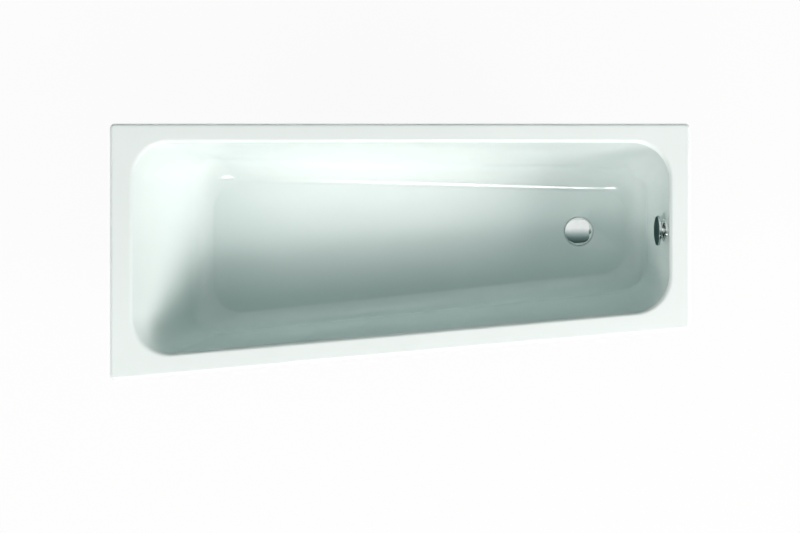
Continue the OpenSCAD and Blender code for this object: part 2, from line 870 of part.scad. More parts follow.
module at_cup_port(reach) {
  at_overflow()
    translate([-reach, 0, cup_port_z])
      rotate([0, -90, 0])
        children();
}

module at_body_port(reach) {
  translate([drain_x + reach, drain_y, port_z])
    rotate([0, 90, 0])
      children();
}

module hose_top_washer() {
  color([0.15, 0.15, 0.15])
    at_cup_port(cup_port_reach)
      tube(port_r, cuff_r + running_play, washer_t);
}

module hose_top_nut() {
  color([0.93, 0.93, 0.92])
    at_cup_port(cup_port_reach + washer_t + nut_lip)
      mirror([0, 0, 1])
        union_nut(port_r, cuff_r, nut_h);
}

module hose_bottom_washer() {
  color([0.15, 0.15, 0.15])
    at_body_port(port_reach)
      tube(port_r, cuff_r + running_play, washer_t);
}

module hose_bottom_nut() {
  color([0.93, 0.93, 0.92])
    at_body_port(port_reach + washer_t + nut_lip)
      mirror([0, 0, 1])
        union_nut(port_r, cuff_r, nut_h);
}

// Supports: two folded rails across the tub, each on two screw legs
rail_pad_t = 4;
rail_pad_len = 220;
rail_over = 30;
stud_r = 4;
stud_gap = 150;
nut_side_share = 0.8;
leg_up = 20;
function mid_y(x) =
  (m_back - wall_inset(well_depth, side_tilt, back_fillet, 0) - x * tan(floor_back_skew)
    - (m_front - wall_inset(well_depth, side_tilt, front_fillet, 0)) + x * tan(floor_front_skew)) / 2;
function rail_top(x) = floor_under(x + rail_w / 2) - rail_pad_t;

module hex_nut(bore_r, h) {
  difference() {
    cylinder(r = 2 * bore_r, h = h, $fn = 6);
    translate([0, 0, -eps])
      cylinder(r = bore_r, h = h + 2 * eps);
  }
}

// The legs stand at equal distances from the floor's middle line, clear of both walls
function leg_span(x) =
  let (u = rim_height - rail_top(x) - rod_up - leg_up)
  2 * (leg_gap + rod_r + max(
    m_back - wall_inset(u, side_tilt, back_fillet, sheet) - x * tan(floor_back_skew) - mid_y(x),
    m_front - wall_inset(u, side_tilt, front_fillet, sheet) - x * tan(floor_front_skew) + mid_y(x)
  ));

module rail(x, span) {
  color([0.74, 0.75, 0.76])
    translate([x, mid_y(x), rail_top(x)])
      difference() {
        translate([-rail_w / 2, -span / 2 - rail_over, -rail_h])
          cube([rail_w, span + 2 * rail_over, rail_h]);
        translate([-rail_w / 2 + rail_t, -span / 2 - rail_over - eps, -rail_h - eps])
          cube([rail_w - 2 * rail_t, span + 2 * rail_over + 2 * eps, rail_h - rail_t + eps]);
        for (side = [-1, 1]) {
          translate([0, side * span / 2, -rail_h])
            cylinder(r = rod_r + loose_play, h = rail_h + eps);
          translate([0, side * stud_gap / 2, -rail_h])
            cylinder(r = stud_r + loose_play, h = rail_h + eps);
        }
      }
}

module head_rail() {
  rail(head_rail_x, leg_span(head_rail_x));
}

module foot_rail() {
  rail(foot_rail_x, leg_span(foot_rail_x));
}

module rail_pads() {
  color([0.1, 0.1, 0.1])
    for (x = [head_rail_x, foot_rail_x])
      difference() {
        translate([0, mid_y(x) + rail_pad_len / 2, 0])
          rotate([90, 0, 0])
            linear_extrude(height = rail_pad_len)
              polygon([
                [x - rail_w / 2, rail_top(x)],
                [x + rail_w / 2, rail_top(x)],
                [x + rail_w / 2, floor_under(x + rail_w / 2) - glue_gap],
                [x - rail_w / 2, floor_under(x - rail_w / 2) - glue_gap]
              ]);
        for (side = [-1, 1])
          translate([x, mid_y(x) + side * stud_gap / 2, rail_top(x) - eps])
            cylinder(r = stud_r + loose_play, h = 2 * rail_pad_t);
      }
}

stud_nut_h = 6;
module rail_studs() {
  color([0.72, 0.73, 0.74])
    for (x = [head_rail_x, foot_rail_x], side = [-1, 1])
      let (top = floor_under(x + stud_r), bottom = rail_top(x) - rail_t - stud_nut_h - stud_r)
        translate([x, mid_y(x) + side * stud_gap / 2, bottom])
          cylinder(r = stud_r, h = top - bottom);
}

module rail_stud_nuts() {
  color([0.78, 0.78, 0.76])
    for (x = [head_rail_x, foot_rail_x], side = [-1, 1])
      translate([x, mid_y(x) + side * stud_gap / 2, rail_top(x) - rail_t - stud_nut_h])
        hex_nut(stud_r, stud_nut_h);
}

// Legs, each in its own body: a threaded rod that turns in a nut welded under the rail
leg_nut_h = 8;
rod_up = leg_out + leg_nut_h;
rod_seat = foot_h / 2;
collar_gap = 2;
leg_places = [
  [head_rail_x, -leg_span(head_rail_x) / 2],
  [head_rail_x, leg_span(head_rail_x) / 2],
  [foot_rail_x, -leg_span(foot_rail_x) / 2],
  [foot_rail_x, leg_span(foot_rail_x) / 2]
];

module at_leg(i) {
  translate([leg_places[i][0], mid_y(leg_places[i][0]) + leg_places[i][1], 0])
    children();
}

module leg_weld_nuts() {
  color([0.78, 0.78, 0.76])
    for (i = [0:3])
      at_leg(i)
        translate([0, 0, rail_top(leg_places[i][0]) - rail_t - leg_nut_h])
          hex_nut(rod_r + running_play, leg_nut_h);
}

module leg_lock_nuts() {
  color([0.78, 0.78, 0.76])
    for (i = [0:3])
      at_leg(i)
        translate([0, 0, rail_top(leg_places[i][0])])
          hex_nut(rod_r + running_play, leg_nut_h);
}

module leg_rod(i) {
  color([0.72, 0.73, 0.74])
    at_leg(i) {
      translate([0, 0, rod_seat])
        cylinder(r = rod_r, h = rail_top(leg_places[i][0]) + rod_up - rod_seat);
      translate([0, 0, foot_h + collar_gap])
        cylinder(r = 2 * rod_r, h = leg_nut_h, $fn = 6);
    }
}

module leg_foot(i) {
  color([0.16, 0.16, 0.17])
    at_leg(i)
      difference() {
        rotate_extrude()
          polygon([
            [0, 0],
            [foot_r - 1, 0],
            [foot_r, 1],
            [foot_r, foot_h / 3],
            [2 * rod_r, foot_h],
            [0, foot_h]
          ]);
        translate([0, 0, rod_seat])
          cylinder(r = rod_r, h = foot_h);
      }
}

module leg_rod_head_front() {
  leg_rod(0);
}

module leg_rod_head_back() {
  leg_rod(1);
}

module leg_rod_foot_front() {
  leg_rod(2);
}

module leg_rod_foot_back() {
  leg_rod(3);
}

module leg_foot_head_front() {
  leg_foot(0);
}

module leg_foot_head_back() {
  leg_foot(1);
}

module leg_foot_foot_front() {
  leg_foot(2);
}

module leg_foot_foot_back() {
  leg_foot(3);
}

tub_shell();
damping_pads();
earth_tag();
drain_flange_seal();
drain_flange();
waste_gasket();
waste_body();
plug_cover();
plug_seal();
plug_stem();
lift_pin();
lift_rocker();
trap_inlet_washer();
trap_inlet_nut();
trap_bend();
trap_outlet_washer();
trap_outlet_nut();
outlet_pipe();
overflow_gasket();
overflow_body();
overflow_rosette();
overflow_knob();
knob_shaft();
cable_drum();
cable_sheath();
overflow_hose();
hose_top_washer();
hose_top_nut();
hose_bottom_washer();
hose_bottom_nut();
head_rail();
foot_rail();
rail_pads();
rail_studs();
rail_stud_nuts();
leg_weld_nuts();
leg_lock_nuts();
leg_rod_head_front();
leg_rod_head_back();
leg_rod_foot_front();
leg_rod_foot_back();
leg_foot_head_front();
leg_foot_head_back();
leg_foot_foot_front();
leg_foot_foot_back();
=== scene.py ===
"""Dresses a tapered bathtub of enamelled steel and its fittings, and lights it from above."""

import json
import math

import bmesh
import bpy
from mathutils import Matrix, Vector


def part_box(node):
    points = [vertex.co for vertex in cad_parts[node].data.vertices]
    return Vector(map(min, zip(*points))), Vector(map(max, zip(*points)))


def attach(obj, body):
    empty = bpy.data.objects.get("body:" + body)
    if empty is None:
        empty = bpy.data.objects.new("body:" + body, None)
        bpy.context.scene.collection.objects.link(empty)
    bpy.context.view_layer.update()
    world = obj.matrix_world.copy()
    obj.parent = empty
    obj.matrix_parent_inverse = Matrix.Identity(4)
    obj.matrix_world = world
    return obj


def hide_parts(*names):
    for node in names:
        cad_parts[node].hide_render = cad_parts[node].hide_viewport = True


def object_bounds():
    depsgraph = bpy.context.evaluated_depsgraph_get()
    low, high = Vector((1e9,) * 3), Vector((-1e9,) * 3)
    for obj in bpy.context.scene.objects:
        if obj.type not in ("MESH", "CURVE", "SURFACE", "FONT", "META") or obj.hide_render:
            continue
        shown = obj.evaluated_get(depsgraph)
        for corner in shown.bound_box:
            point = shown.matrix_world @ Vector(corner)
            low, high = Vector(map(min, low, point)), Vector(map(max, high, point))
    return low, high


bl_info = {
    "name": "Tapered bathtub",
    "version": (1, 0, 0),
    "blender": (4, 5, 0),
    "location": "View3D > Sidebar > Bathtub",
    "description": "Dresses a tapered bathtub of enamelled steel with its fittings and its studio",
    "category": "Object",
}

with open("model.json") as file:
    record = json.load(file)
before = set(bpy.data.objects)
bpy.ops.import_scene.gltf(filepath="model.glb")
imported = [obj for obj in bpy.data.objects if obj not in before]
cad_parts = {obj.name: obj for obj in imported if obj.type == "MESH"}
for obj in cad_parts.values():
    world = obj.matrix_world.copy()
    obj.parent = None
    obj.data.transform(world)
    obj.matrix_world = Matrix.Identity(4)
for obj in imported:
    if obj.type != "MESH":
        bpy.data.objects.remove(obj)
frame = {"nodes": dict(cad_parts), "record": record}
CAD_LOW, CAD_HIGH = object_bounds()
SHELL_LOW, SHELL_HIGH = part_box("tub_shell")
COVER_LOW, COVER_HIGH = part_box("plug_cover")
FLANGE_LOW, FLANGE_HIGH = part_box("drain_flange")
SEAL_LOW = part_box("drain_flange_seal")[0]
HOSE_LOW, HOSE_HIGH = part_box("overflow_hose")
RAIL_NODES = ("head_rail", "foot_rail")
LEG_NAMES = ("head_front", "head_back", "foot_front", "foot_back")


def length(name, text, default):
    """A size in metres that a user may change."""
    return bpy.props.FloatProperty(name=name, description=text, default=default, unit="LENGTH", precision=4)


def angle(name, text, degrees):
    """An angle that a user may change."""
    turn = math.radians(degrees)
    return bpy.props.FloatProperty(name=name, description=text, default=turn, subtype="ANGLE")


def colour(name, text, default):
    """A linear colour that a user may change."""
    return bpy.props.FloatVectorProperty(
        name=name, description=text, default=default, size=3, min=0, max=1, subtype="COLOR"
    )


def level(name, text, default):
    """A plain number that a user may change."""
    return bpy.props.FloatProperty(name=name, description=text, default=default, min=0)


class TubSizes(bpy.types.PropertyGroup):
    """Sizes of the pressed shell."""

    foot_width: length("Drain-end width", "Width over the rim at the drain end", 0.600)
    well_depth: length("Well depth", "Depth of the floor's head end below the rim", 0.400)
    floor_fall: length("Floor fall", "Fall of the floor towards the drain end", 0.008)
    sheet: length("Sheet", "Thickness of the enamelled sheet", 0.003)
    head_rim: length("Head rim", "Width of the rim at the head end", 0.0635)
    foot_rim: length("Drain-end rim", "Width of the rim at the drain end", 0.0595)
    back_rim: length("Wall-side rim", "Width of the rim along the wall side", 0.0545)
    front_rim: length("Front rim", "Width of the rim along the front", 0.0605)
    apron: length("Apron", "Height of the folded edge", 0.034)
    fold: length("Fold", "Radius of the fold between rim and edge", 0.009)
    rim_corner: length("Rim corner", "Radius of the rim's corners", 0.014)
    mouth: length("Mouth radius", "Radius between rim and walls", 0.012)
    mouth_corner: length("Mouth corner", "Radius of the mouth's corners", 0.112)
    floor_corner: length("Floor corner", "Radius of the floor's corners", 0.082)
    head_fillet: length("Backrest radius", "Radius between floor and backrest", 0.090)
    foot_fillet: length("Drain-end radius", "Radius between floor and drain-end wall", 0.070)
    back_fillet: length("Wall-side radius", "Radius between floor and wall-side wall", 0.092)
    front_fillet: length("Front radius", "Radius between floor and front wall", 0.0725)
    head_tilt: angle("Backrest slope", "Slope of the backrest from upright", 24.7)
    foot_tilt: angle("Drain-end slope", "Slope of the drain-end wall from upright", 8.2)
    side_tilt: angle("Side slope", "Slope of the long walls from upright", 8.7)
    crease: angle("Crease", "Angle at which the radii meet the floor", 12)
    crease_soft: length("Crease softness", "Width of the rounding along the crease", 0.003)
    front_skew: angle("Front skew", "Turn of the floor's front edge", 6.1)
    back_skew: angle("Wall-side skew", "Turn of the floor's wall-side edge", 1.5)
    dish_radius: length("Dish radius", "Radius of the pressed dish round the drain", 0.044)
    dish_depth: length("Dish depth", "Depth of the pressed dish round the drain", 0.005)
    dish_soft: length("Dish rounding", "Rounding of the dish's edge", 0.0025)
    drain_bore: length("Drain hole", "Radius of the drain hole", 0.026)
    overflow_bore: length("Overflow hole", "Radius of the overflow hole", 0.026)
    overflow_drop: length("Overflow drop", "Distance of the overflow below the rim, down the wall", 0.076)


class FittingSizes(bpy.types.PropertyGroup):
    """Sizes of the metal fittings that show, and of the hose."""

    cover_rise: length("Cover rise", "Rise of the cover's dome", 0.006)
    cover_wall: length("Cover wall", "Thickness of the cover", 0.002)
    knob_radius: length("Knob radius", "Radius of the turning knob", 0.0435)
    knob_thickness: length("Knob thickness", "Thickness of the turning knob", 0.007)
    knob_standoff: length("Knob standoff", "Distance from the wall to the knob", 0.017)
    knob_gap: length("Knob gap", "Gap between neck and knob", 0.0003)
    rosette_radius: length("Rosette radius", "Radius of the rosette", 0.033)
    rosette_thickness: length("Rosette thickness", "Thickness of the rosette's flange", 0.0035)
    neck_radius: length("Neck radius", "Radius of the neck behind the knob", 0.0235)
    neck_wall: length("Neck wall", "Thickness of the neck's wall", 0.003)
    sleeve_radius: length("Sleeve radius", "Radius of the rosette's sleeve through the wall", 0.0256)
    sleeve_bore: length("Sleeve bore", "Radius inside the rosette's sleeve", 0.0225)
    sleeve_depth: length("Sleeve depth", "Depth of the rosette's sleeve behind the enamel", 0.016)
    shaft_bore: length("Shaft bore", "Radius of the bearing for the knob's shaft", 0.00506)
    hub_radius: length("Hub radius", "Radius of the bearing's hub", 0.008)
    window_width: length("Window width", "Width of each water window in the neck", 0.024)
    window_height: length("Window height", "Height of each water window in the neck", 0.009)
    spoke_width: length("Spoke width", "Width of the spokes in flange and rosette", 0.003)
    spoke_height: length("Spoke height", "Height of the flange's spokes", 0.004)
    flange_bore: length("Flange bore", "Radius inside the drain flange", 0.0225)
    flange_neck: length("Flange neck", "Radius of the drain flange's neck", 0.0257)
    flange_thickness: length("Flange thickness", "Thickness of the drain flange", 0.002)
    guide_radius: length("Guide radius", "Radius of the hub that guides the stem", 0.006)
    guide_bore: length("Guide bore", "Radius of the guide's bore", 0.0031)
    guide_height: length("Guide height", "Height of the guide's hub", 0.005)
    guide_lift: length("Guide lift", "Height of the guide over the neck's lower end", 0.002)
    rib_radius: length("Rib radius", "Radius over the hose's ribs", 0.016)
    rib_root: length("Rib root", "Radius between the hose's ribs", 0.0135)
    cuff_radius: length("Cuff radius", "Radius of the hose's smooth ends", 0.014)
    cuff_length: length("Cuff length", "Length of the hose's smooth ends", 0.053)
    hose_bore: length("Hose bore", "Radius inside the hose", 0.0115)
    hose_bend: length("Hose bend", "Radius of the hose's bend", 0.090)
    rib_count: bpy.props.IntProperty(name="Ribs", description="Number of ribs on the hose", default=66)


class FrameSizes(bpy.types.PropertyGroup):
    """Sizes of the rails, legs and nuts under the tub."""

    rail_sheet: length("Rail sheet", "Thickness of the folded rails", 0.0025)
    rail_bend: length("Rail bend", "Outer radius of the rails' folds", 0.0045)
    rod_radius: length("Rod radius", "Radius of the leg rods", 0.005)
    thread_pitch: length("Thread pitch", "Distance between the turns of the legs' thread", 0.0015)
    thread_depth: length("Thread depth", "Depth of the legs' thread", 0.0009)
    stud_radius: length("Stud radius", "Radius of the studs that hold the rails", 0.004)
    stud_pitch: length("Stud pitch", "Distance between the turns of the studs' thread", 0.00125)
    stud_gap: length("Stud gap", "Distance between the studs of a rail", 0.150)
    stud_nut: length("Stud nut", "Height of the studs' nuts", 0.006)
    pad_thickness: length("Pad thickness", "Thickness of the pads between rails and floor", 0.004)
    leg_nut: length("Leg nut", "Height of the legs' nuts", 0.008)
    collar_place: length("Collar place", "Height of the rod's hexagon over the floor", 0.015)
    play: length("Play", "Play of nuts and holes round the rods", 0.00006)
    hole_play: length("Hole play", "Play of the rails' holes round the rods", 0.0003)


class Colours(bpy.types.PropertyGroup):
    """Colours of the finishes."""

    enamel: colour("Enamel", "White enamel of the visible side", (0.68, 0.79, 0.768))
    ground: colour("Ground coat", "Dark enamel of the underside", (0.035, 0.045, 0.06))
    chrome: colour("Chrome", "Chrome plate of cover, drain ring and rosette", (0.76, 0.80, 0.79))
    # The knob's chrome is set darker than the other chrome: painted shade that stands in for the dark the
    # knob mirrors.
    knob: colour("Knob", "Chrome plate of the turning knob", (0.50, 0.55, 0.54))
    # A dark teal tint for the knob's reflection at low angles: a painted reflection.
    knob_edge_painted_reflection: colour("Knob's low gloss", "Tint of what the knob mirrors at a low angle", (0.14, 0.20, 0.19))
    nickel: colour("Nickel", "Nickel plate of hidden metal", (0.60, 0.58, 0.54))
    brass: colour("Brass", "Nickel-plated brass of the knob's shaft", (0.60, 0.57, 0.51))
    rubber: colour("Rubber", "Black rubber", (0.018, 0.018, 0.019))
    bitumen: colour("Bitumen", "Pressed damping sheet", (0.030, 0.030, 0.033))
    black_plastic: colour("Black plastic", "Moulded fittings", (0.028, 0.029, 0.032))
    white_plastic: colour("White plastic", "Moulded nuts and pipes", (0.78, 0.78, 0.75))
    hose: colour("Hose", "Ribbed hose", (0.30, 0.31, 0.32))
    zinc: colour("Zinc", "Zinc-plated steel", (0.55, 0.56, 0.57))


class Studio(bpy.types.PropertyGroup):
    """Camera and lamps."""

    camera_height: length("Camera height", "Camera above the rim", 12.9)
    camera_shift_y: length("Camera place", "Camera's place across the tub", -0.0436)
    view_width: length("View width", "Width of the picture at the rim", 2.3428)
    head_power: level("Head lamp", "Power of the soft lamp in front of the head end, in watts", 390)
    drain_power: level("Drain lamp", "Power of the soft lamp in front of the drain end, in watts", 720)
    front_power: level("Front lamp", "Power of the wide soft lamp on the front side, in watts", 245)
    strip_power: level("Strip lamp", "Power of the narrow lamp above the front, in watts", 24)
    fill_power: level("Fill lamps", "Power of each lamp below the rim's level, in watts", 45)
    ambient: level("Ambient", "Strength of the light from all round", 0.08)


def tub():
    """The shell's sizes in this scene."""
    return bpy.context.scene.bathtub_sizes


def fittings():
    """The fittings' sizes in this scene."""
    return bpy.context.scene.bathtub_fittings


def underframe():
    """The sizes of rails, legs and nuts in this scene."""
    return bpy.context.scene.bathtub_frame


def colours():
    """The colours in this scene."""
    return bpy.context.scene.bathtub_colours


# Materials


def new_material(name):
    """A new material, its node tree and its shader."""
    material = bpy.data.materials.new(name)
    material.use_nodes = True
    tree = material.node_tree
    return material, tree, tree.nodes["Principled BSDF"]


def add(tree, kind, **inputs):
    """A new shader node; each input takes a value or the socket to link it from."""
    node = tree.nodes.new("ShaderNode" + kind)
    for name, value in inputs.items():
        socket = node.inputs[name.replace("_", " ")]
        if isinstance(value, bpy.types.NodeSocket):
            tree.links.new(value, socket)
        else:
            socket.default_value = value
    return node


def noise(tree, scale, detail=2.0, stretch=(1, 1, 1)):
    """Noise on the piece's own coordinates, in cycles a metre."""
    where = add(tree, "TexCoord").outputs["Object"]
    mapping = add(tree, "Mapping", Vector=where, Scale=stretch)
    return add(tree, "TexNoise", Vector=mapping.outputs["Vector"], Scale=scale, Detail=detail).outputs["Fac"]


def ramp(tree, fac, stops):
    """A colour ramp through the given places and colours."""
    node = add(tree, "ValToRGB", Fac=fac)
    elements = node.color_ramp.elements
    while len(elements) < len(stops):
        elements.new(0.5)
    for element, (place, tone) in zip(elements, stops):
        element.position = place
        element.color = (*tone, 1)
    return node.outputs["Color"]


def shade(tone, factor):
    """A colour made lighter or darker."""
    return tuple(min(1, part * factor) for part in tone)


def coated(name, cloud, stops, gloss, relief=None):
    """A material and its shader: noise for the colours, the roughness and its range, and the bumps."""
    material, tree, shader = new_material(name)
    tree.links.new(ramp(tree, noise(tree, *cloud), stops), shader.inputs["Base Color"])
    scale, low, high = gloss
    spread = add(
        tree, "MapRange", Value=noise(tree, *scale), From_Min=0.3, From_Max=0.7, To_Min=low, To_Max=high
    )
    tree.links.new(spread.outputs["Result"], shader.inputs["Roughness"])
    if relief:
        scale, strength, distance = relief
        node = add(tree, "Bump", Height=noise(tree, *scale), Strength=strength, Distance=distance)
        tree.links.new(node.outputs["Normal"], shader.inputs["Normal"])
    return material, shader


def enamel_material():
    """Fired white enamel: a glassy coat that flows in faint waves."""
    tone = colours().enamel
    stops = [(0.35, shade(tone, 0.985)), (0.65, shade(tone, 1.01))]
    material, shader = coated("white_enamel", (2.5, 3), stops, ((9,), 0.10, 0.16), ((60, 1), 0.04, 0.0006))
    shader.inputs["IOR"].default_value = 1.52
    shader.inputs["Coat Weight"].default_value = 0.6
    shader.inputs["Coat Roughness"].default_value = 0.04
    return material


def ground_material():
    """Dark ground enamel of the underside, with specks of overspray."""
    tone = colours().ground
    stops = [(0.0, tone), (0.62, shade(tone, 1.6)), (0.70, (0.30, 0.32, 0.33)), (1.0, (0.5, 0.52, 0.52))]
    return coated("ground_enamel", (420, 2), stops, ((30,), 0.28, 0.45), ((160, 3), 0.25, 0.0008))[0]


def metal_material(name, tone, low, high, grain=None, edge=None):
    """Polished or brushed metal with faint wear; edge, where given, is a painted reflection: a tint put on
    what it mirrors at a low angle.
    """
    stops = [(0.3, shade(tone, 0.94)), (0.7, shade(tone, 1.04))]
    relief = ((grain, 2), 0.12, 0.0003) if grain else None
    material, shader = coated(name, (24, 4), stops, ((90, 3), low, high), relief)
    shader.inputs["Metallic"].default_value = 1
    if edge:
        shader.inputs["Specular Tint"].default_value = (*edge, 1)
    return material


def zinc_material():
    """Zinc plate with its grey-blue bloom and a rolled grain."""
    tone = colours().zinc
    blue = (tone[0] * 1.1, tone[1] * 1.12, tone[2] * 1.18)
    stops = [(0.25, shade(tone, 0.78)), (0.5, tone), (0.75, blue)]
    relief = ((300, 2, (1, 0.1, 1)), 0.15, 0.0003)
    material, shader = coated("zinc_plate", (38, 5), stops, ((70, 4), 0.26, 0.46), relief)
    shader.inputs["Metallic"].default_value = 0.9
    return material


def plastic_material(name, tone, roughness):
    """Moulded plastic with a fine grain and a little unevenness."""
    stops = [(0.3, shade(tone, 0.93)), (0.7, shade(tone, 1.05))]
    gloss = ((60, 3), roughness - 0.06, roughness + 0.08)
    return coated(name, (14, 3), stops, gloss, ((700, 2), 0.18, 0.0002))[0]


def rubber_material(name, tone):
    """Matt rubber or bitumen with a dusty, pitted face."""
    stops = [(0.35, tone), (0.72, shade(tone, 2.2))]
    return coated(name, (110, 5), stops, ((80, 2), 0.62, 0.85), ((500, 3), 0.35, 0.0004))[0]


MATERIALS = {}


def finishes():
    """All materials, made once: by the record's slot names, and the ground coat and the knob's chrome, which
    is darkened as painted shade.
    """
    if not MATERIALS:
        c = colours()
        MATERIALS.update(
            enamel=enamel_material(),
            ground=ground_material(),
            chrome=metal_material("chrome_plate", c.chrome, 0.05, 0.10),
            # Darker chrome with a dark teal tint at low angles for the knob: painted shade and painted
            # reflection.
            dark_chrome=metal_material("dark_chrome_plate", c.knob, 0.06, 0.12, edge=c.knob_edge_painted_reflection),
            plug_metal=metal_material("nickel_plate", c.nickel, 0.16, 0.3, 240),
            brass=metal_material("turned_brass", c.brass, 0.2, 0.34, 320),
            rubber=rubber_material("black_rubber", c.rubber),
            bitumen=rubber_material("bitumen_sheet", c.bitumen),
            black_plastic=plastic_material("black_moulding", c.black_plastic, 0.42),
            white_plastic=plastic_material("white_moulding", c.white_plastic, 0.34),
            hose=plastic_material("grey_hose", c.hose, 0.38),
            cable=plastic_material("cable_sleeve", c.rubber, 0.36),
            zinc=zinc_material(),
            foot_plastic=plastic_material("foot_moulding", c.black_plastic, 0.5),
        )
    return MATERIALS


# Mesh tools

SMOOTH_LIMIT = math.radians(32)


def to_object(bm, name, *coats):
    """Turns a bmesh into a shaded object with these finishes."""
    mesh = bpy.data.meshes.new(name)
    bm.to_mesh(mesh)
    bm.free()
    for coat in coats:
        mesh.materials.append(finishes()[coat])
    mesh.shade_smooth()
    mesh.set_sharp_from_angle(angle=SMOOTH_LIMIT)
    piece = bpy.data.objects.new(name, mesh)
    bpy.context.scene.collection.objects.link(piece)
    return piece


def move(bm, way):
    """Moves all of a bmesh."""
    bmesh.ops.translate(bm, verts=bm.verts, vec=way)


def face_outward(bm):
    """Turns all faces of a closed bmesh outward."""
    bmesh.ops.recalc_face_normals(bm, faces=bm.faces)


def bevel(bm, edges, width, segments, clamp=False):
    """Rounds these edges."""
    bmesh.ops.bevel(
        bm, geom=edges, offset=width, segments=segments, profile=0.5,
        affect="EDGES", material=-1, clamp_overlap=clamp,
    )


def soften(bm, width, degrees=35, segments=3):
    """Rounds the sharp edges of a closed mesh."""
    limit = math.radians(degrees)
    sharp = [e for e in bm.edges if len(e.link_faces) == 2 and e.calc_face_angle(0) > limit]
    bevel(bm, sharp, width, segments, True)


def quarter(steps):
    """Angles from 0 to 90 degrees."""
    return [math.pi / 2 * i / steps for i in range(steps + 1)]


def rolled(radius, top, roll, steps=5):
    """Points of a rounded upper edge, from the side up to the top."""
    return [(radius - roll * (1 - math.cos(a)), top - roll * (1 - math.sin(a))) for a in quarter(steps)]


def spun(bm, profile, steps, closed=False, **more):
    """Turns points (radius, height) once round Z."""
    verts = [bm.verts.new((radius, 0, height)) for radius, height in profile]
    edges = [bm.edges.new(pair) for pair in zip(verts, verts[1:])]
    if closed:
        edges.append(bm.edges.new((verts[-1], verts[0])))
    geom = verts + edges
    bmesh.ops.spin(bm, geom=geom, cent=(0, 0, 0), axis=(0, 0, 1), angle=math.tau, steps=steps, **more)


def turned(profile, steps=128, soft=0.0, closed=False):
    """A bmesh turned round Z from points (radius, height)."""
    bm = bmesh.new()
    spun(bm, profile, steps, closed, use_merge=True)
    bmesh.ops.remove_doubles(bm, verts=bm.verts, dist=1e-6)
    bmesh.ops.dissolve_degenerate(bm, edges=bm.edges, dist=1e-7)
    face_outward(bm)
    if soft:
        soften(bm, soft)
    return bm


def puck(radius, low, high, steps=128):
    """A plain round solid, to cut or to add."""
    return turned([(0, low), (radius, low), (radius, high), (0, high)], steps)


def block(low, high):
    """A bmesh box between two corners."""
    bm = bmesh.new()
    bmesh.ops.create_cube(bm, size=1)
    low, high = Vector(low), Vector(high)
    bmesh.ops.scale(bm, verts=bm.verts, vec=high - low)
    move(bm, (low + high) / 2)
    return bm


def spoke(root, reach, width, low, high, turn):
    """A rounded bar that points away from the axis."""
    bm = block((root, -width / 2, low), (reach, width / 2, high))
    soften(bm, width / 8, segments=2)
    bmesh.ops.rotate(bm, verts=bm.verts, matrix=Matrix.Rotation(turn, 3, "Z"))
    return bm


def joined(parts, name, coat):
    """One object out of several finished bmeshes."""
    bm = bmesh.new()
    for part in parts:
        mesh = bpy.data.meshes.new("part")
        part.to_mesh(mesh)
        part.free()
        bm.from_mesh(mesh)
        bpy.data.meshes.remove(mesh)
    return to_object(bm, name, coat)


def placed(bm, place):
    """A copy of a bmesh at another place."""
    other = bm.copy()
    move(other, place)
    return other


def threaded(radius, depth, pitch, low, high, steps=20):
    """A rod with a helical thread and chamfered ends."""
    root = radius - depth
    turns = math.ceil((high - low) / pitch) + 2
    bm = bmesh.new()
    start = low - pitch
    tooth = ((root, 0), (radius, 0.40), (radius, 0.52), (root, 0.92), (root, 1))
    spun(bm, [(reach, start + pitch * share) for reach, share in tooth], steps, dvec=(0, 0, pitch / steps))
    done = 1
    while done < turns:
        more = bmesh.ops.duplicate(bm, geom=bm.verts[:] + bm.edges[:] + bm.faces[:])["geom"]
        moved = [item for item in more if isinstance(item, bmesh.types.BMVert)]
        bmesh.ops.translate(bm, verts=moved, vec=(0, 0, pitch * done))
        done *= 2
    bmesh.ops.remove_doubles(bm, verts=bm.verts, dist=1e-6)
    for height, side in ((low, -1), (high, 1)):
        everything = bm.verts[:] + bm.edges[:] + bm.faces[:]
        bmesh.ops.bisect_plane(
            bm, geom=everything, plane_co=(0, 0, height), plane_no=(0, 0, side), clear_outer=True
        )
    bmesh.ops.holes_fill(bm, edges=[e for e in bm.edges if e.is_boundary])
    for vert in bm.verts:
        reach = math.hypot(vert.co.x, vert.co.y)
        most = root - depth / 2 + min(vert.co.z - low, high - vert.co.z)
        if reach > most:
            vert.co.x *= most / reach
            vert.co.y *= most / reach
    face_outward(bm)
    return bm


def hexagon(radius, height, bore=0):
    """A mesh of a chamfered hexagon nut that stands on Z = 0."""
    corner = radius * 0.12
    wide = radius + 1e-5
    nut = to_object(puck(radius, 0, height, 6), "nut", "zinc")
    barrel = [
        (0, 0), (radius * 0.88, 0), (wide, corner / 1.6), (wide, height - corner / 1.6),
        (radius * 0.88, height), (0, height),
    ]
    cut(nut, turned(barrel, 48), "INTERSECT")
    if bore:
        sink = bore * 0.12
        hole = [
            (0, -sink), (bore + 2 * sink, -sink), (bore, sink), (bore, height - sink),
            (bore + 2 * sink, height + sink), (0, height + sink),
        ]
        cut(nut, turned(hole, 48))
    bm = bmesh.new()
    bm.from_mesh(nut.data)
    bpy.data.objects.remove(nut)
    return bm


def loft(bm, rings, mark=None):
    """Skins rings of equally many points; mark gives each band's material."""
    around = len(rings[0])
    grid = bmesh.ops.create_grid(bm, x_segments=around, y_segments=len(rings) - 1, size=1)["verts"]
    for j, ring in enumerate(rings):
        for i in range(around + 1):
            grid[j * (around + 1) + i].co = ring[i % around]
    if mark:
        for face in bm.faces:
            row = min(vert.index for vert in face.verts) // (around + 1)
            face.material_index = mark(row)
    bmesh.ops.remove_doubles(bm, verts=bm.verts, dist=1e-6)


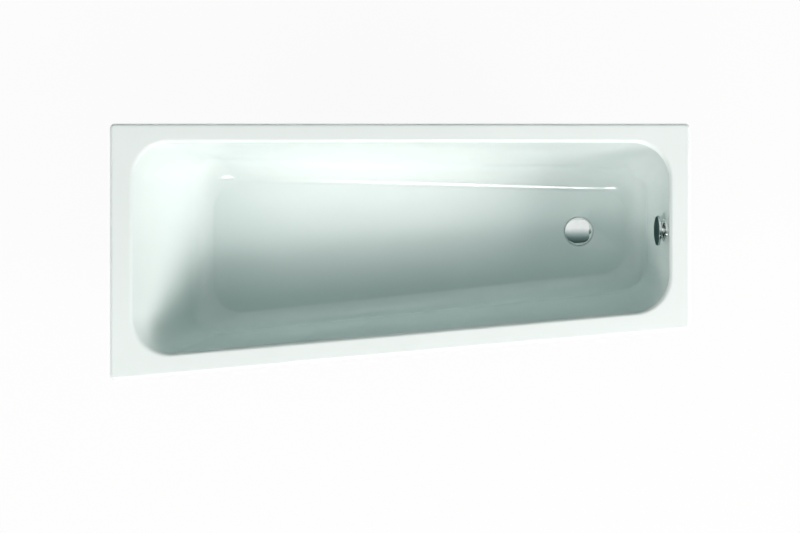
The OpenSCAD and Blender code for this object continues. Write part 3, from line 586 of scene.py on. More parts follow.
def cut(piece, bm, operation="DIFFERENCE", where=Matrix(), *coats):
    """Cuts a solid out of a piece, or joins it on; the solid is moved first, and its faces take a coat."""
    bm.transform(where)
    other = to_object(bm, "tool", *coats)
    modifier = piece.modifiers.new(operation.lower(), "BOOLEAN")
    modifier.operation = operation
    modifier.solver = "EXACT"
    modifier.object = other
    graph = bpy.context.evaluated_depsgraph_get()
    mesh = bpy.data.meshes.new_from_object(piece.evaluated_get(graph))
    piece.modifiers.clear()
    old = piece.data
    mesh.name = old.name
    piece.data = mesh
    bpy.data.meshes.remove(old)
    bpy.data.objects.remove(other)


def at_drain():
    """Frame of the drain: upright, at Z = 0."""
    middle = (COVER_LOW + COVER_HIGH) / 2
    return Matrix.Translation((middle.x, middle.y, 0))


def overflow_centre():
    """Where the overflow's axis meets the enamel of the drain-end wall."""
    t = tub()
    drop = t.overflow_drop * math.cos(t.foot_tilt)
    return Vector((
        SHELL_HIGH.x - t.foot_rim - drop * math.tan(t.foot_tilt),
        (COVER_LOW.y + COVER_HIGH.y) / 2,
        SHELL_HIGH.z - drop,
    ))


def at_overflow():
    """Frame of the overflow: Z leaves the wall into the tub, X points up the wall."""
    turn = Matrix.Rotation(tub().foot_tilt - math.pi / 2, 4, "Y")
    return Matrix.Translation(overflow_centre()) @ turn


def dress(piece, body, slot, *nodes):
    """Puts a finished piece on its body in place of CAD nodes."""
    if not piece.data.polygons:
        raise RuntimeError(piece.name + " came out empty")
    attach(piece, body)
    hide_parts(*nodes)


# The shell's shape

CORNER_STEPS = 20
SIDE_STEPS = 8
WALL_STEPS = 6
HOLD = 0.003  # distance of the rings that keep a straight stretch straight beside a curve


def rim_skew():
    """Turn of the rim's front edge."""
    t = tub()
    return math.atan((SHELL_HIGH.y - SHELL_LOW.y - t.foot_width) / (SHELL_HIGH.x - SHELL_LOW.x))


def front_reach():
    """Distance of the rim's front edge at the tub's middle."""
    t = tub()
    skew = rim_skew()
    straight = SHELL_HIGH.x - t.rim_corner
    return SHELL_HIGH.y - straight * math.tan(skew) + t.rim_corner * (1 / math.cos(skew) - 1)


def outline(normals, supports, radius):
    """Points of a four-sided outline with round corners, counter-clockwise."""
    points = []
    turns = [*normals, math.tau]
    centres = []
    for n in range(4):
        a, b = turns[n], turns[n + 1]
        da, db = supports[n] - radius, supports[(n + 1) % 4] - radius
        corner = Vector((da * math.sin(b) - db * math.sin(a), db * math.cos(a) - da * math.cos(b)))
        centres.append(corner / math.sin(b - a))
    for n in range(4):
        for i in range(CORNER_STEPS + 1):
            phi = turns[n] + (turns[n + 1] - turns[n]) * i / CORNER_STEPS
            points.append(centres[n] + radius * Vector((math.cos(phi), math.sin(phi))))
        phi = turns[n + 1]
        first = points[-1]
        last = centres[(n + 1) % 4] + radius * Vector((math.cos(phi), math.sin(phi)))
        points.extend(first.lerp(last, i / SIDE_STEPS) for i in range(1, SIDE_STEPS))
    return points


def edge_ring(inset, z):
    """A ring of the folded edge."""
    t = tub()
    skew = rim_skew()
    side = SHELL_HIGH.x - inset
    supports = (side, SHELL_HIGH.y - inset, side, front_reach() * math.cos(skew) - inset)
    normals = (0, math.pi / 2, math.pi, 1.5 * math.pi + skew)
    radius = t.rim_corner - min(inset, t.rim_corner * 0.75)
    return [Vector((p.x, p.y, z)) for p in outline(normals, supports, radius)]


def wall_inset(depth, tilt, fillet, off):
    """Inset of a wall from the mouth's line at this depth; off is the depth inside the sheet."""
    t = tub()
    arc = t.mouth - off
    low = fillet + off
    centre = t.well_depth - fillet * math.cos(t.crease)
    if depth < t.mouth - arc * math.sin(tilt):
        across = math.sqrt(max(0, arc**2 - (t.mouth - depth) ** 2))
        return t.mouth * (math.sin(tilt) - 1) / math.cos(tilt) + across
    if depth < centre + low * math.sin(tilt):
        return depth * math.tan(tilt) - off / math.cos(tilt)
    across = math.sqrt(max(0, low**2 - (depth - centre) ** 2))
    return centre * math.tan(tilt) + fillet / math.cos(tilt) - across


def sides():
    """Slope, floor radius and mouth line of the drain end, wall side, head end and front."""
    t = tub()
    return (
        (t.foot_tilt, t.foot_fillet, SHELL_HIGH.x - t.foot_rim),
        (t.side_tilt, t.back_fillet, SHELL_HIGH.y - t.back_rim),
        (t.head_tilt, t.head_fillet, SHELL_HIGH.x - t.head_rim),
        (t.side_tilt, t.front_fillet, front_reach() - t.front_rim),
    )


def floor_ends():
    """X of the floor's head end and drain end."""
    depth = tub().well_depth
    (foot_tilt, foot_fillet, foot_line), _, (head_tilt, head_fillet, head_line), _ = sides()
    return (
        wall_inset(depth, head_tilt, head_fillet, 0) - head_line,
        foot_line - wall_inset(depth, foot_tilt, foot_fillet, 0),
    )


def wall_end():
    """Depth at which the walls end and the floor's radii begin."""
    t = tub()
    return t.well_depth - t.back_fillet * (math.cos(t.crease) - math.sin(t.side_tilt))


def well_ring(depth, off):
    """A ring of the well."""
    t = tub()
    share = min(1, depth / t.well_depth)
    fall_share = min(1, max(0, (depth - wall_end()) / (t.well_depth - wall_end())))
    back_skew = t.back_skew * share
    front_skew = rim_skew() + (t.front_skew - rim_skew()) * share
    reach = [line - wall_inset(depth, tilt, fillet, off) for tilt, fillet, line in sides()]
    supports = (reach[0], reach[1] * math.cos(back_skew), reach[2], reach[3] * math.cos(front_skew))
    normals = (0, math.pi / 2 - back_skew, math.pi, 1.5 * math.pi + front_skew)
    radius = t.mouth_corner + (t.floor_corner - t.mouth_corner) * share + off
    head, foot = floor_ends()
    fall = t.floor_fall * fall_share / (foot - head)
    top = SHELL_HIGH.z - depth
    return [Vector((p.x, p.y, top - fall * (p.x - head))) for p in outline(normals, supports, radius)]


def skin_depths(off, floor_steps, mouth_steps):
    """Depths of the well's rings, from the floor up to the rim."""
    t = tub()
    low = t.back_fillet + off
    centre = t.well_depth - t.back_fillet * math.cos(t.crease)
    last = math.acos((t.back_fillet * math.cos(t.crease) + off) / low)
    first = math.pi / 2 - t.side_tilt
    arc = t.mouth - off
    turns = [last + (first - last) * i / floor_steps for i in range(floor_steps + 1)]
    floor_arc = [centre + low * math.cos(turn) for turn in turns]
    steepest = math.pi / 2 - t.foot_tilt
    mouth_arc = [t.mouth - arc * math.cos(steepest * (1 - i / mouth_steps)) for i in range(mouth_steps + 1)]
    high, low = mouth_arc[0] + HOLD, floor_arc[-1] - HOLD
    walls = [low + (high - low) * i / WALL_STEPS for i in range(WALL_STEPS + 1)]
    return floor_arc + walls + mouth_arc


def fold_rings(off, steps):
    """Rings of the fold between the rim and its edge."""
    t = tub()
    rings = []
    for turn in quarter(steps):
        inset = t.fold - (t.fold - off) * math.sin(turn)
        rings.append(edge_ring(inset, SHELL_HIGH.z - t.fold + (t.fold - off) * math.cos(turn)))
    return rings


def shell_rings():
    """All rings from the floor over the rim to the underside, and how many of them are white."""
    t = tub()
    bottom = SHELL_HIGH.z - t.apron
    upper = [well_ring(depth, 0) for depth in skin_depths(0, 16, 12)]
    upper += [edge_ring(t.fold + HOLD, SHELL_HIGH.z)]
    upper += fold_rings(0, 10)
    upper += [edge_ring(0, bottom + t.sheet / 2)]
    upper += [edge_ring(t.sheet / 4, bottom), edge_ring(t.sheet * 3 / 4, bottom)]
    under = [edge_ring(t.sheet, bottom + t.sheet / 2)]
    under += fold_rings(t.sheet, 5)[::-1]
    under += [edge_ring(t.fold + HOLD, SHELL_HIGH.z - t.sheet)]
    under += [well_ring(depth, t.sheet) for depth in skin_depths(t.sheet, 10, 6)[::-1]]
    return upper + under, len(upper)


def make_shell():
    """The pressed and enamelled shell, white inside and dark underneath."""
    t = tub()
    rings, white = shell_rings()
    bm = bmesh.new()
    loft(bm, rings, lambda row: 0 if row < white else 1)
    caps = bmesh.ops.holes_fill(bm, edges=[e for e in bm.edges if e.is_boundary])["faces"]
    floor, under = sorted(caps, key=lambda face: -face.calc_center_median().z)
    under.material_index = 1
    bevel(bm, list(floor.edges), t.crease_soft, 4)
    floor = max((f for f in bm.faces if f.material_index == 0), key=lambda face: face.calc_area())
    bmesh.ops.inset_region(bm, faces=[floor], thickness=HOLD)
    face_outward(bm)
    shell = to_object(bm, "bath_shell", "enamel", "ground")
    reach = t.sheet * 2
    cut(shell, puck(t.overflow_bore, -reach, reach), where=at_overflow())
    dish_z = SEAL_LOW.z
    floor_z = dish_z + t.dish_depth
    boss = puck(t.dish_radius + t.sheet, dish_z - t.sheet, floor_z - t.sheet / 2)
    cut(shell, boss, "UNION", at_drain(), "ground")
    turns = [math.radians(80) * i / 8 for i in range(9)]
    soft = t.dish_soft
    flare = [(t.dish_radius + soft * (1 - math.cos(a)), floor_z - soft * (1 - math.sin(a))) for a in turns]
    top = floor_z + t.sheet
    dish = turned([(0, dish_z), (t.dish_radius, dish_z), *flare, (flare[-1][0], top), (0, top)])
    cut(shell, dish, where=at_drain())
    cut(shell, puck(t.drain_bore, -reach, reach), where=at_drain() @ Matrix.Translation((0, 0, dish_z)))
    shell.data.shade_smooth()
    shell.data.set_sharp_from_angle(angle=SMOOTH_LIMIT)
    dress(shell, "tub", "enamel", "tub_shell")


def dome(radius, rise, top, steps=14):
    """Points from the crown of a shallow dome to its edge."""
    big = (radius**2 + rise**2) / (2 * rise)
    half = math.asin(radius / big)
    turns = [half * i / steps for i in range(steps + 1)]
    return [(big * math.sin(turn), top - big * (1 - math.cos(turn))) for turn in turns]


def make_cover():
    """The plug's domed cover."""
    f = fittings()
    radius = (COVER_HIGH.x - COVER_LOW.x) / 2
    inner = dome(radius - f.cover_wall, f.cover_rise, COVER_HIGH.z - f.cover_wall)
    profile = dome(radius, f.cover_rise, COVER_HIGH.z)
    profile += [(radius, COVER_LOW.z), (radius - f.cover_wall, COVER_LOW.z)] + inner[::-1]
    bm = turned(profile, soft=0.0007)
    bm.transform(at_drain())
    dress(to_object(bm, "plug_dome", "chrome"), "plug", "chrome", "plug_cover")


def make_knob():
    """The round turning knob, with a rolled edge."""
    f = fittings()
    back = f.knob_standoff + f.knob_gap
    front = back + f.knob_thickness
    chamfer = 0.001
    edge = rolled(f.knob_radius, front, 0.0025, 8)
    bm = turned([
        (0, back), (f.knob_radius - chamfer, back), (f.knob_radius, back + chamfer), *edge, (0, front)
    ])
    bm.transform(at_overflow())
    # The knob takes the darker chrome, painted shade, in place of its slot's plain chrome.
    dress(to_object(bm, "turning_knob", "dark_chrome"), "knob", "chrome", "overflow_knob")


SPOKE_END = 0.001  # how far a spoke reaches into its ring
HAIR = 0.00001  # keeps two faces that would lie in one plane apart, so that cuts come out closed


def disc(radius, low, high, soft):
    """A small round solid with soft edges."""
    return turned([(0, low), (radius, low), (radius, high), (0, high)], 64, soft)


def make_flange():
    """The metal ring in the drain's dish, its neck, and the spokes and hub that guide the stem."""
    f = fittings()
    radius = (FLANGE_HIGH.x - FLANGE_LOW.x) / 2
    top, low = FLANGE_HIGH.z, FLANGE_LOW.z
    under = top - f.flange_thickness
    roll = f.flange_thickness * 0.45
    body = turned([
        (f.flange_bore, low), (f.flange_neck, low), (f.flange_neck, under), (radius, under),
        *rolled(radius, top, roll), (f.flange_bore + roll, top), (f.flange_bore, top - roll),
    ], closed=True)
    body.transform(at_drain())
    flange = to_object(body, "drain_ring", "chrome")
    guide = low + f.guide_lift
    root, reach = (f.guide_bore + f.guide_radius) / 2, f.flange_bore + SPOKE_END
    for n in range(4):
        bar = spoke(root, reach, f.spoke_width, guide + HAIR, guide + f.spoke_height, n * math.pi / 2)
        cut(flange, bar, "UNION", at_drain())
    cut(flange, disc(f.guide_radius, guide, guide + f.guide_height, 0.0006), "UNION", at_drain())
    hole = puck(f.guide_bore, guide - f.guide_lift, guide + f.guide_height * 2, 64)
    cut(flange, hole, where=at_drain())
    dress(flange, "tub", "chrome", "drain_flange")


def make_rosette():
    """The flange on the overflow, with the neck and its water windows behind the knob."""
    f = fittings()
    thick = f.rosette_thickness
    inside = f.neck_radius - f.neck_wall
    fillet, corner = 0.001, 0.002
    body = turned([
        (f.sleeve_bore, -f.sleeve_depth), (f.sleeve_radius, -f.sleeve_depth), (f.sleeve_radius, 0),
        (f.rosette_radius, 0), *rolled(f.rosette_radius, thick, thick * 0.4),
        (f.neck_radius + fillet, thick), (f.neck_radius, thick + fillet),
        (f.neck_radius, f.knob_standoff), (inside, f.knob_standoff),
        (inside, thick / 2), (f.sleeve_bore, thick / 2),
    ], closed=True)
    rosette = to_object(body, "overflow_flange", "chrome")
    for n in range(4):
        opening = block(
            (f.hub_radius, -f.window_width / 2, thick + HAIR),
            (f.neck_radius + f.hub_radius, f.window_width / 2, thick + f.window_height),
        )
        outward = [e for e in opening.edges if abs(e.verts[0].co.x - e.verts[1].co.x) > f.neck_radius / 2]
        bevel(opening, outward, corner, 4)
        cut(rosette, opening, where=Matrix.Rotation((n + 0.5) * math.pi / 2, 4, "Z"))
    root, reach = (f.shaft_bore + f.hub_radius) / 2, f.sleeve_bore + SPOKE_END
    for n in range(3):
        cut(rosette, spoke(root, reach, f.spoke_width, HAIR, thick - HAIR, n * math.tau / 3), "UNION")
    cut(rosette, disc(f.hub_radius, 0, thick, 0.0005), "UNION")
    cut(rosette, puck(f.shaft_bore, -thick, 2 * thick, 64))
    rosette.data.transform(at_overflow())
    rosette.data.set_sharp_from_angle(angle=SMOOTH_LIMIT)
    dress(rosette, "tub", "chrome", "overflow_rosette")


def hose_place(along):
    """Point and heading on the hose's middle line at a distance from its upper end."""
    f = fittings()
    tilt = tub().foot_tilt
    start_x = HOSE_HIGH.x - f.cuff_radius * math.cos(tilt)
    start_z = HOSE_HIGH.z - f.cuff_radius * math.sin(tilt)
    level_z = HOSE_LOW.z + f.rib_radius
    first = (start_z - level_z - f.hose_bend * (1 - math.sin(tilt))) / math.cos(tilt)
    arc = f.hose_bend * (math.pi / 2 - tilt)
    bend_x = start_x - first * math.sin(tilt) - f.hose_bend * math.cos(tilt)
    if along < first:
        return start_x - along * math.sin(tilt), start_z - along * math.cos(tilt), tilt
    if along < first + arc:
        turn = tilt + (along - first) / f.hose_bend
        return bend_x + f.hose_bend * math.cos(turn), level_z + f.hose_bend * (1 - math.sin(turn)), turn
    return bend_x - (along - first - arc), level_z, math.pi / 2


def hose_length():
    """Length of the hose along its middle line."""
    f = fittings()
    low, high = 0, 2
    while high - low > 1e-7:
        middle = (low + high) / 2
        if hose_place(middle)[0] > HOSE_LOW.x:
            low = middle
        else:
            high = middle
    return low


def hose_ring(along, radius, count=32):
    """A ring round the hose's middle line."""
    x, z, turn = hose_place(along)
    y = (COVER_LOW.y + COVER_HIGH.y) / 2
    ring = []
    for i in range(count):
        a = -math.tau * i / count
        out = radius * math.cos(a)
        ring.append(Vector((x + out * math.cos(turn), y + radius * math.sin(a), z - out * math.sin(turn))))
    return ring


def make_hose():
    """The ribbed hose from the overflow down to the waste."""
    f = fittings()
    whole = hose_length()
    pitch = (whole - 2 * f.cuff_length) / f.rib_count
    chamfer, step, drop = 0.0005, 0.0006, 0.0003
    shoulder = f.cuff_length - pitch / 2
    outer = [(0, f.cuff_radius - chamfer), (chamfer, f.cuff_radius)]
    outer += [(shoulder - step, f.cuff_radius), (shoulder, f.cuff_radius - drop)]
    middle, swing = (f.rib_radius + f.rib_root) / 2, (f.rib_radius - f.rib_root) / 2
    for i in range(f.rib_count * 8 + 1):
        wave = math.cos(math.tau * i / 8)
        outer.append((f.cuff_length + pitch * i / 8, middle - swing * math.copysign(abs(wave) ** 0.7, wave)))
    outer += [(whole - place, radius) for place, radius in outer[3::-1]]
    inner = [(whole * i / 60, f.hose_bore) for i in range(60, -1, -1)]
    bm = bmesh.new()
    rings = [hose_ring(place, radius) for place, radius in outer + inner]
    loft(bm, rings + rings[:1])
    face_outward(bm)
    hose = to_object(bm, "ribbed_hose", "hose")
    hose.data.set_sharp_from_angle(angle=math.radians(60))
    dress(hose, "tub", "hose", "overflow_hose")


def leg_axis(name):
    """The middle line of a leg, on the floor."""
    low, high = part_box("leg_rod_" + name)
    return Vector(((low.x + high.x) / 2, (low.y + high.y) / 2, 0))


def stud_places(node):
    """The studs' middle lines in a rail, at its top face."""
    low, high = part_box(node)
    gap = underframe().stud_gap
    return [Vector(((low.x + high.x) / 2, (low.y + high.y) / 2 + side * gap / 2, high.z)) for side in (-1, 1)]


def make_rail(node):
    """A rail folded from sheet steel, open below, with holes for legs and studs."""
    u = underframe()
    low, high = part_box(node)
    half = (high.x - low.x) / 2
    x = (high.x + low.x) / 2
    inner = u.rail_bend - u.rail_sheet
    turns = quarter(6)
    bend = u.rail_bend
    outer = [(half - bend * (1 - math.sin(a)), high.z - bend * (1 - math.cos(a))) for a in turns]
    inside = [(half - bend + inner * math.sin(a), high.z - bend + inner * math.cos(a)) for a in turns]
    right = outer + [(half, low.z)]
    right_inside = inside + [(half - u.rail_sheet, low.z)]
    loop = [(-a, b) for a, b in right[::-1]] + right + right_inside[::-1] + [(-a, b) for a, b in right_inside]
    bm = bmesh.new()
    verts = [bm.verts.new((x + across, low.y, height)) for across, height in loop]
    face = bm.faces.new(verts)
    end = bmesh.ops.extrude_face_region(bm, geom=[face])["geom"]
    moved = [item for item in end if isinstance(item, bmesh.types.BMVert)]
    bmesh.ops.translate(bm, verts=moved, vec=(0, high.y - low.y, 0))
    face_outward(bm)
    soften(bm, 0.0003, 60, 2)
    rail = to_object(bm, node + "_fold", "zinc")
    holes = [(place, u.stud_radius + u.hole_play) for place in stud_places(node)]
    side = node.split("_")[0]
    holes += [(leg_axis(n), u.rod_radius + u.hole_play) for n in LEG_NAMES if n.startswith(side)]
    for place, radius in holes:
        hole = puck(radius, high.z - 2 * bend, high.z + bend, 48)
        cut(rail, hole, where=Matrix.Translation((place.x, place.y, 0)))
    rail.data.set_sharp_from_angle(angle=SMOOTH_LIMIT)
    dress(rail, "tub", "zinc", node)


def make_fasteners():
    """The studs with their nuts and the legs' nuts over and under the rails."""
    u = underframe()
    small = hexagon(2 * u.stud_radius, u.stud_nut, u.stud_radius)
    bore = u.rod_radius + u.play
    large = hexagon(2 * bore, u.leg_nut, bore)
    studs, stud_nuts, weld_nuts, lock_nuts = [], [], [], []
    for node in RAIL_NODES:
        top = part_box(node)[1].z
        under = top - u.rail_sheet
        for place in stud_places(node):
            low, high = under - u.stud_nut - u.stud_radius, top + u.pad_thickness
            stud = threaded(u.stud_radius, u.thread_depth * 0.8, u.stud_pitch, low, high)
            move(stud, (place.x, place.y, 0))
            studs.append(stud)
            stud_nuts.append(placed(small, (place.x, place.y, under - u.stud_nut)))
        for name in LEG_NAMES:
            if name.startswith(node.split("_")[0]):
                axis = leg_axis(name)
                weld_nuts.append(placed(large, (axis.x, axis.y, under - u.leg_nut)))
                lock_nuts.append(placed(large, (axis.x, axis.y, top)))
    small.free()
    large.free()
    for parts, name, node in (
        (studs, "threaded_studs", "rail_studs"),
        (stud_nuts, "stud_nuts", "rail_stud_nuts"),
        (weld_nuts, "weld_nuts", "leg_weld_nuts"),
        (lock_nuts, "lock_nuts", "leg_lock_nuts"),
    ):
        dress(joined(parts, name, "zinc"), "tub", "zinc", node)


def make_leg(name):
    """A leg: a threaded rod with a hexagon to turn it by, and its moulded foot."""
    u = underframe()
    axis = leg_axis(name)
    low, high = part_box("leg_rod_" + name)
    rod = threaded(u.rod_radius, u.thread_depth, u.thread_pitch, low.z, high.z)
    move(rod, axis)
    grip = hexagon(2 * u.rod_radius, u.leg_nut)
    move(grip, axis + Vector((0, 0, u.collar_place)))
    dress(joined([rod, grip], "screw_" + name, "zinc"), "leg_" + name, "zinc", "leg_rod_" + name)
    low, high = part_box("leg_foot_" + name)
    radius, height = (high.x - low.x) / 2, high.z - low.z
    fall = radius - 2 * u.rod_radius
    shares = [i / 10 for i in range(11)]
    slope = [(radius - fall * share, height * (1 / 3 + 2 / 3 * share**1.25)) for share in shares]
    seat = u.rod_radius + 1e-5
    groove, edge = 0.001, 0.0012
    foot = turned([
        (0, groove), (radius * 0.35, groove), (radius * 0.4, 0), (radius * 0.62, 0), (radius * 0.66, groove),
        (radius * 0.74, groove), (radius * 0.78, 0), (radius - edge, 0), (radius, edge), *slope,
        (seat, height), (seat, height / 2), (0, height / 2),
    ], 96, 0.0004)
    move(foot, axis)
    pad = to_object(foot, "pad_" + name, "foot_plastic")
    dress(pad, "leg_" + name, "foot_plastic", "leg_foot_" + name)


def make_rails():
    """Both rails with their studs and nuts."""
    for node in RAIL_NODES:
        make_rail(node)
    make_fasteners()


def make_legs():
    """All four legs."""
    for name in LEG_NAMES:
        make_leg(name)


def give_finishes():
    """Gives the kept CAD parts the finishes of their slots."""
    slots = {part["node"]: part["material_slot"] for part in frame["record"]["subparts"]}
    for name, node in frame["nodes"].items():
        node.data.materials.clear()
        node.data.materials.append(finishes()[slots[name]])


# Studio

WHITE = (1, 1, 1, 1)


def seen_rays(tree):
    """1 for the rays of the camera, of mirrors and of glass, and 0 for others."""
    path = add(tree, "LightPath")
    seen = path.outputs["Is Camera Ray"]
    for kind in ("Is Glossy Ray", "Is Transmission Ray"):
        most = tree.nodes.new("ShaderNodeMath")
        most.operation = "MAXIMUM"
        tree.links.new(seen, most.inputs[0])
        tree.links.new(path.outputs[kind], most.inputs[1])
        seen = most.outputs[0]
    return seen


def blend(tree, fac, first, second, output):
    """Shows a mix of two shaders."""
    mix = tree.nodes.new("ShaderNodeMixShader")
    for socket, source in zip(mix.inputs, (fac, first.outputs[0], second.outputs[0])):
        tree.links.new(source, socket)
    tree.links.new(mix.outputs["Shader"], tree.nodes[output].inputs["Surface"])


def make_floor():
    """A pale floor under the feet that keeps a soft shadow."""
    half, pale, white_share = 8, 0.62, 0.95
    bm = bmesh.new()
    bmesh.ops.create_grid(bm, x_segments=1, y_segments=1, size=half)
    move(bm, (0, 0, CAD_LOW.z))
    material, tree, shader = new_material("studio_floor")
    shader.inputs["Base Color"].default_value = (pale, pale, pale, 1)
    shader.inputs["Roughness"].default_value = 0.9
    scale = tree.nodes.new("ShaderNodeMath")
    scale.operation = "MULTIPLY"
    scale.inputs[1].default_value = white_share
    tree.links.new(seen_rays(tree), scale.inputs[0])
    blend(tree, scale.outputs[0], shader, add(tree, "Emission", Color=WHITE), "Material Output")
    floor = to_object(bm, "studio_floor")
    floor.data.materials.append(material)


def make_world():
    """White to the camera and in mirrors, and a weak cool light from all round."""
    world = bpy.data.worlds.new("studio")
    bpy.context.scene.world = world
    world.use_nodes = True
    tree = world.node_tree
    dim = tree.nodes["Background"]
    dim.inputs["Color"].default_value = (0.35, 1.0, 0.90, 1)
    dim.inputs["Strength"].default_value = bpy.context.scene.bathtub_studio.ambient
    blend(tree, seen_rays(tree), dim, add(tree, "Background", Color=WHITE), "World Output")


def lamp(name, place, target, size, power, tint=(1, 1, 1)):
    """A soft rectangular lamp that points at a target."""
    data = bpy.data.lights.new(name, "AREA")
    data.shape = "RECTANGLE"
    data.size, data.size_y = size
    data.energy = power
    data.color = tint
    light = bpy.data.objects.new(name, data)
    light.location = place
    light.rotation_euler = (Vector(target) - Vector(place)).to_track_quat("-Z", "Y").to_euler()
    light.visible_camera = False
    bpy.context.scene.collection.objects.link(light)
    return light


MIDDLE = Vector((0, 0, 0.4))  # the point that the soft lamps on the front side aim at
FILL_HEIGHT = 0.3


def around(turn, elevation, distance):
    """A place round the tub's middle; turn is counted from +X, in degrees as the elevation is."""
    turn, elevation = math.radians(turn), math.radians(elevation)
    flat = distance * math.cos(elevation)
    return MIDDLE + Vector((flat * math.cos(turn), flat * math.sin(turn), distance * math.sin(elevation)))


def make_lamps():
    """Soft lamps on the front side that leave no mirror image, and a strip that does.

    Three fill lamps below the rim's level light the outside only.
    """
    s = bpy.context.scene.bathtub_studio
    warm = (1.0, 0.865, 0.868)
    for name, place, width, power in (
        ("front_head", around(215, 34, 8), 3.2, s.head_power),
        ("front_drain", around(335, 31, 8), 3.2, s.drain_power),
        ("front", around(270, 42, 8), 5.8, s.front_power),
    ):
        lamp(name, place, MIDDLE, (width, 3.2), power, warm).visible_glossy = False
    for name, x, y, share in (
        ("fill_back", 0, 4.5, 1.0), ("fill_head", -4.8, 0, 0.25), ("fill_drain", 4.8, 0, 0.25)
    ):
        lamp(name, (x, y, FILL_HEIGHT), (0, 0, FILL_HEIGHT), (3.5, 0.4), s.fill_power * share)
    shift = Vector((0.24, 0, 0))
    lamp("strip", around(270, 53.5, 4.6) + shift, MIDDLE + shift, (0.98, 0.4), s.strip_power)


CARD_EDGE = 1.3  # place of its white edge, towards the wall side
CARD_FADE = 4.8  # distance over which it darkens towards the front
CARD_HEIGHT = 8.0
CARD_HALF = 14.0


def make_card():
    """A dark card behind the lamps that only polished faces mirror."""
    bm = bmesh.new()
    bmesh.ops.create_grid(bm, x_segments=1, y_segments=1, size=CARD_HALF)
    move(bm, (0, CARD_EDGE - CARD_HALF, CARD_HEIGHT))
    bmesh.ops.reverse_faces(bm, faces=bm.faces)
    material, tree = new_material("dark_card")[:2]
    where = add(tree, "TexCoord").outputs["Object"]
    y = add(tree, "SeparateXYZ", Vector=where).outputs["Y"]
    fade = add(tree, "MapRange", Value=y, From_Min=CARD_EDGE, From_Max=CARD_EDGE - CARD_FADE)
    tones = [
        (0.0, (1, 1, 1)), (0.2, (0.73, 0.78, 0.77)), (0.43, (0.37, 0.45, 0.44)),
        (0.7, (0.14, 0.20, 0.19)), (1.0, (0.05, 0.085, 0.08)),
    ]
    glow = add(tree, "Emission", Color=ramp(tree, fade.outputs["Result"], tones))
    tree.links.new(glow.outputs["Emission"], tree.nodes["Material Output"].inputs["Surface"])
    card = to_object(bm, "dark_card")
    card.data.materials.append(material)
    card.visible_camera = False
    card.visible_diffuse = False
    card.visible_shadow = False
    card.visible_transmission = False


def make_camera():
    """A long lens straight above the tub."""
    s = bpy.context.scene.bathtub_studio
    data = bpy.data.cameras.new("camera")
    data.sensor_width = 36
    data.lens = 36 * s.camera_height / s.view_width
    data.clip_end = 100
    camera = bpy.data.objects.new("camera", data)
    camera.location = (0, s.camera_shift_y, SHELL_HIGH.z + s.camera_height)
    bpy.context.scene.collection.objects.link(camera)
    bpy.context.scene.camera = camera


def make_studio():
    """The floor, the lamps, the card and the camera."""
    for make in (make_floor, make_world, make_lamps, make_card, make_camera):
        make()
    bpy.context.scene.view_settings.view_transform = "Standard"


# Operators and panel


class BATH_OT_finishes(bpy.types.Operator):
    """Give the kept parts their finishes"""

    bl_idname = "bath.finishes"
    bl_label = "Finishes"

    def execute(self, context):
        give_finishes()
        return {"FINISHED"}


class BATH_OT_shell(bpy.types.Operator):
    """Make the enamelled shell"""

    bl_idname = "bath.shell"
    bl_label = "Shell"

    def execute(self, context):
        make_shell()
        return {"FINISHED"}


class BATH_OT_cover(bpy.types.Operator):
    """Make the plug's domed cover"""

    bl_idname = "bath.cover"
    bl_label = "Plug cover"

    def execute(self, context):
        make_cover()
        return {"FINISHED"}


class BATH_OT_drain(bpy.types.Operator):
    """Make the drain's ring with its guide"""

    bl_idname = "bath.drain"
    bl_label = "Drain ring"

    def execute(self, context):
        make_flange()
        return {"FINISHED"}


class BATH_OT_knob(bpy.types.Operator):
    """Make the turning knob"""

    bl_idname = "bath.knob"
    bl_label = "Knob"

    def execute(self, context):
        make_knob()
        return {"FINISHED"}


class BATH_OT_rosette(bpy.types.Operator):
    """Make the overflow's rosette with its water windows"""

    bl_idname = "bath.rosette"
    bl_label = "Rosette"

    def execute(self, context):
        make_rosette()
        return {"FINISHED"}


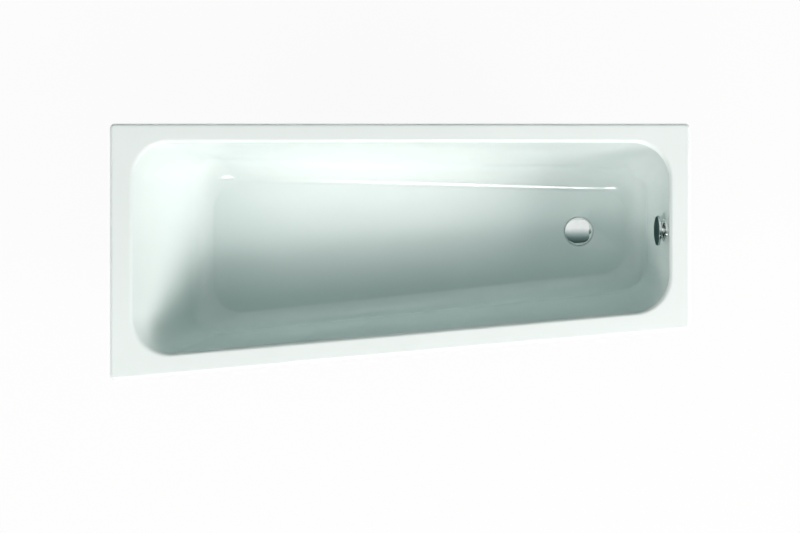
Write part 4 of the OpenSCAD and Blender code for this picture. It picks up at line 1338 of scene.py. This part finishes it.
class BATH_OT_hose(bpy.types.Operator):
    """Make the ribbed hose"""

    bl_idname = "bath.hose"
    bl_label = "Hose"

    def execute(self, context):
        make_hose()
        return {"FINISHED"}


class BATH_OT_rails(bpy.types.Operator):
    """Make both rails with their studs and nuts"""

    bl_idname = "bath.rails"
    bl_label = "Rails"

    def execute(self, context):
        make_rails()
        return {"FINISHED"}


class BATH_OT_legs(bpy.types.Operator):
    """Make the four screw legs"""

    bl_idname = "bath.legs"
    bl_label = "Legs"

    def execute(self, context):
        make_legs()
        return {"FINISHED"}


class BATH_OT_studio(bpy.types.Operator):
    """Set up the floor, the lamps and the camera"""

    bl_idname = "bath.studio"
    bl_label = "Studio"

    def execute(self, context):
        make_studio()
        return {"FINISHED"}


OPERATORS = (
    BATH_OT_finishes, BATH_OT_shell, BATH_OT_cover, BATH_OT_drain, BATH_OT_knob,
    BATH_OT_rosette, BATH_OT_hose, BATH_OT_rails, BATH_OT_legs, BATH_OT_studio,
)


class BATH_PT_panel(bpy.types.Panel):
    """Lists the steps that dress the tub"""

    bl_idname = "BATH_PT_panel"
    bl_label = "Bathtub"
    bl_space_type = "VIEW_3D"
    bl_region_type = "UI"
    bl_category = "Bathtub"

    def draw(self, context):
        for step in OPERATORS:
            self.layout.operator(step.bl_idname)


GROUPS = {
    "bathtub_sizes": TubSizes,
    "bathtub_fittings": FittingSizes,
    "bathtub_frame": FrameSizes,
    "bathtub_colours": Colours,
    "bathtub_studio": Studio,
}
CLASSES = (*GROUPS.values(), *OPERATORS, BATH_PT_panel)


def register():
    for cls in CLASSES:
        bpy.utils.register_class(cls)
    for name, group in GROUPS.items():
        setattr(bpy.types.Scene, name, bpy.props.PointerProperty(type=group))


def unregister():
    for name in GROUPS:
        delattr(bpy.types.Scene, name)
    for cls in reversed(CLASSES):
        bpy.utils.unregister_class(cls)


def main():
    register()
    for step in OPERATORS:
        getattr(bpy.ops.bath, step.bl_idname.split(".")[1])()


if __name__ == "__main__":
    main()
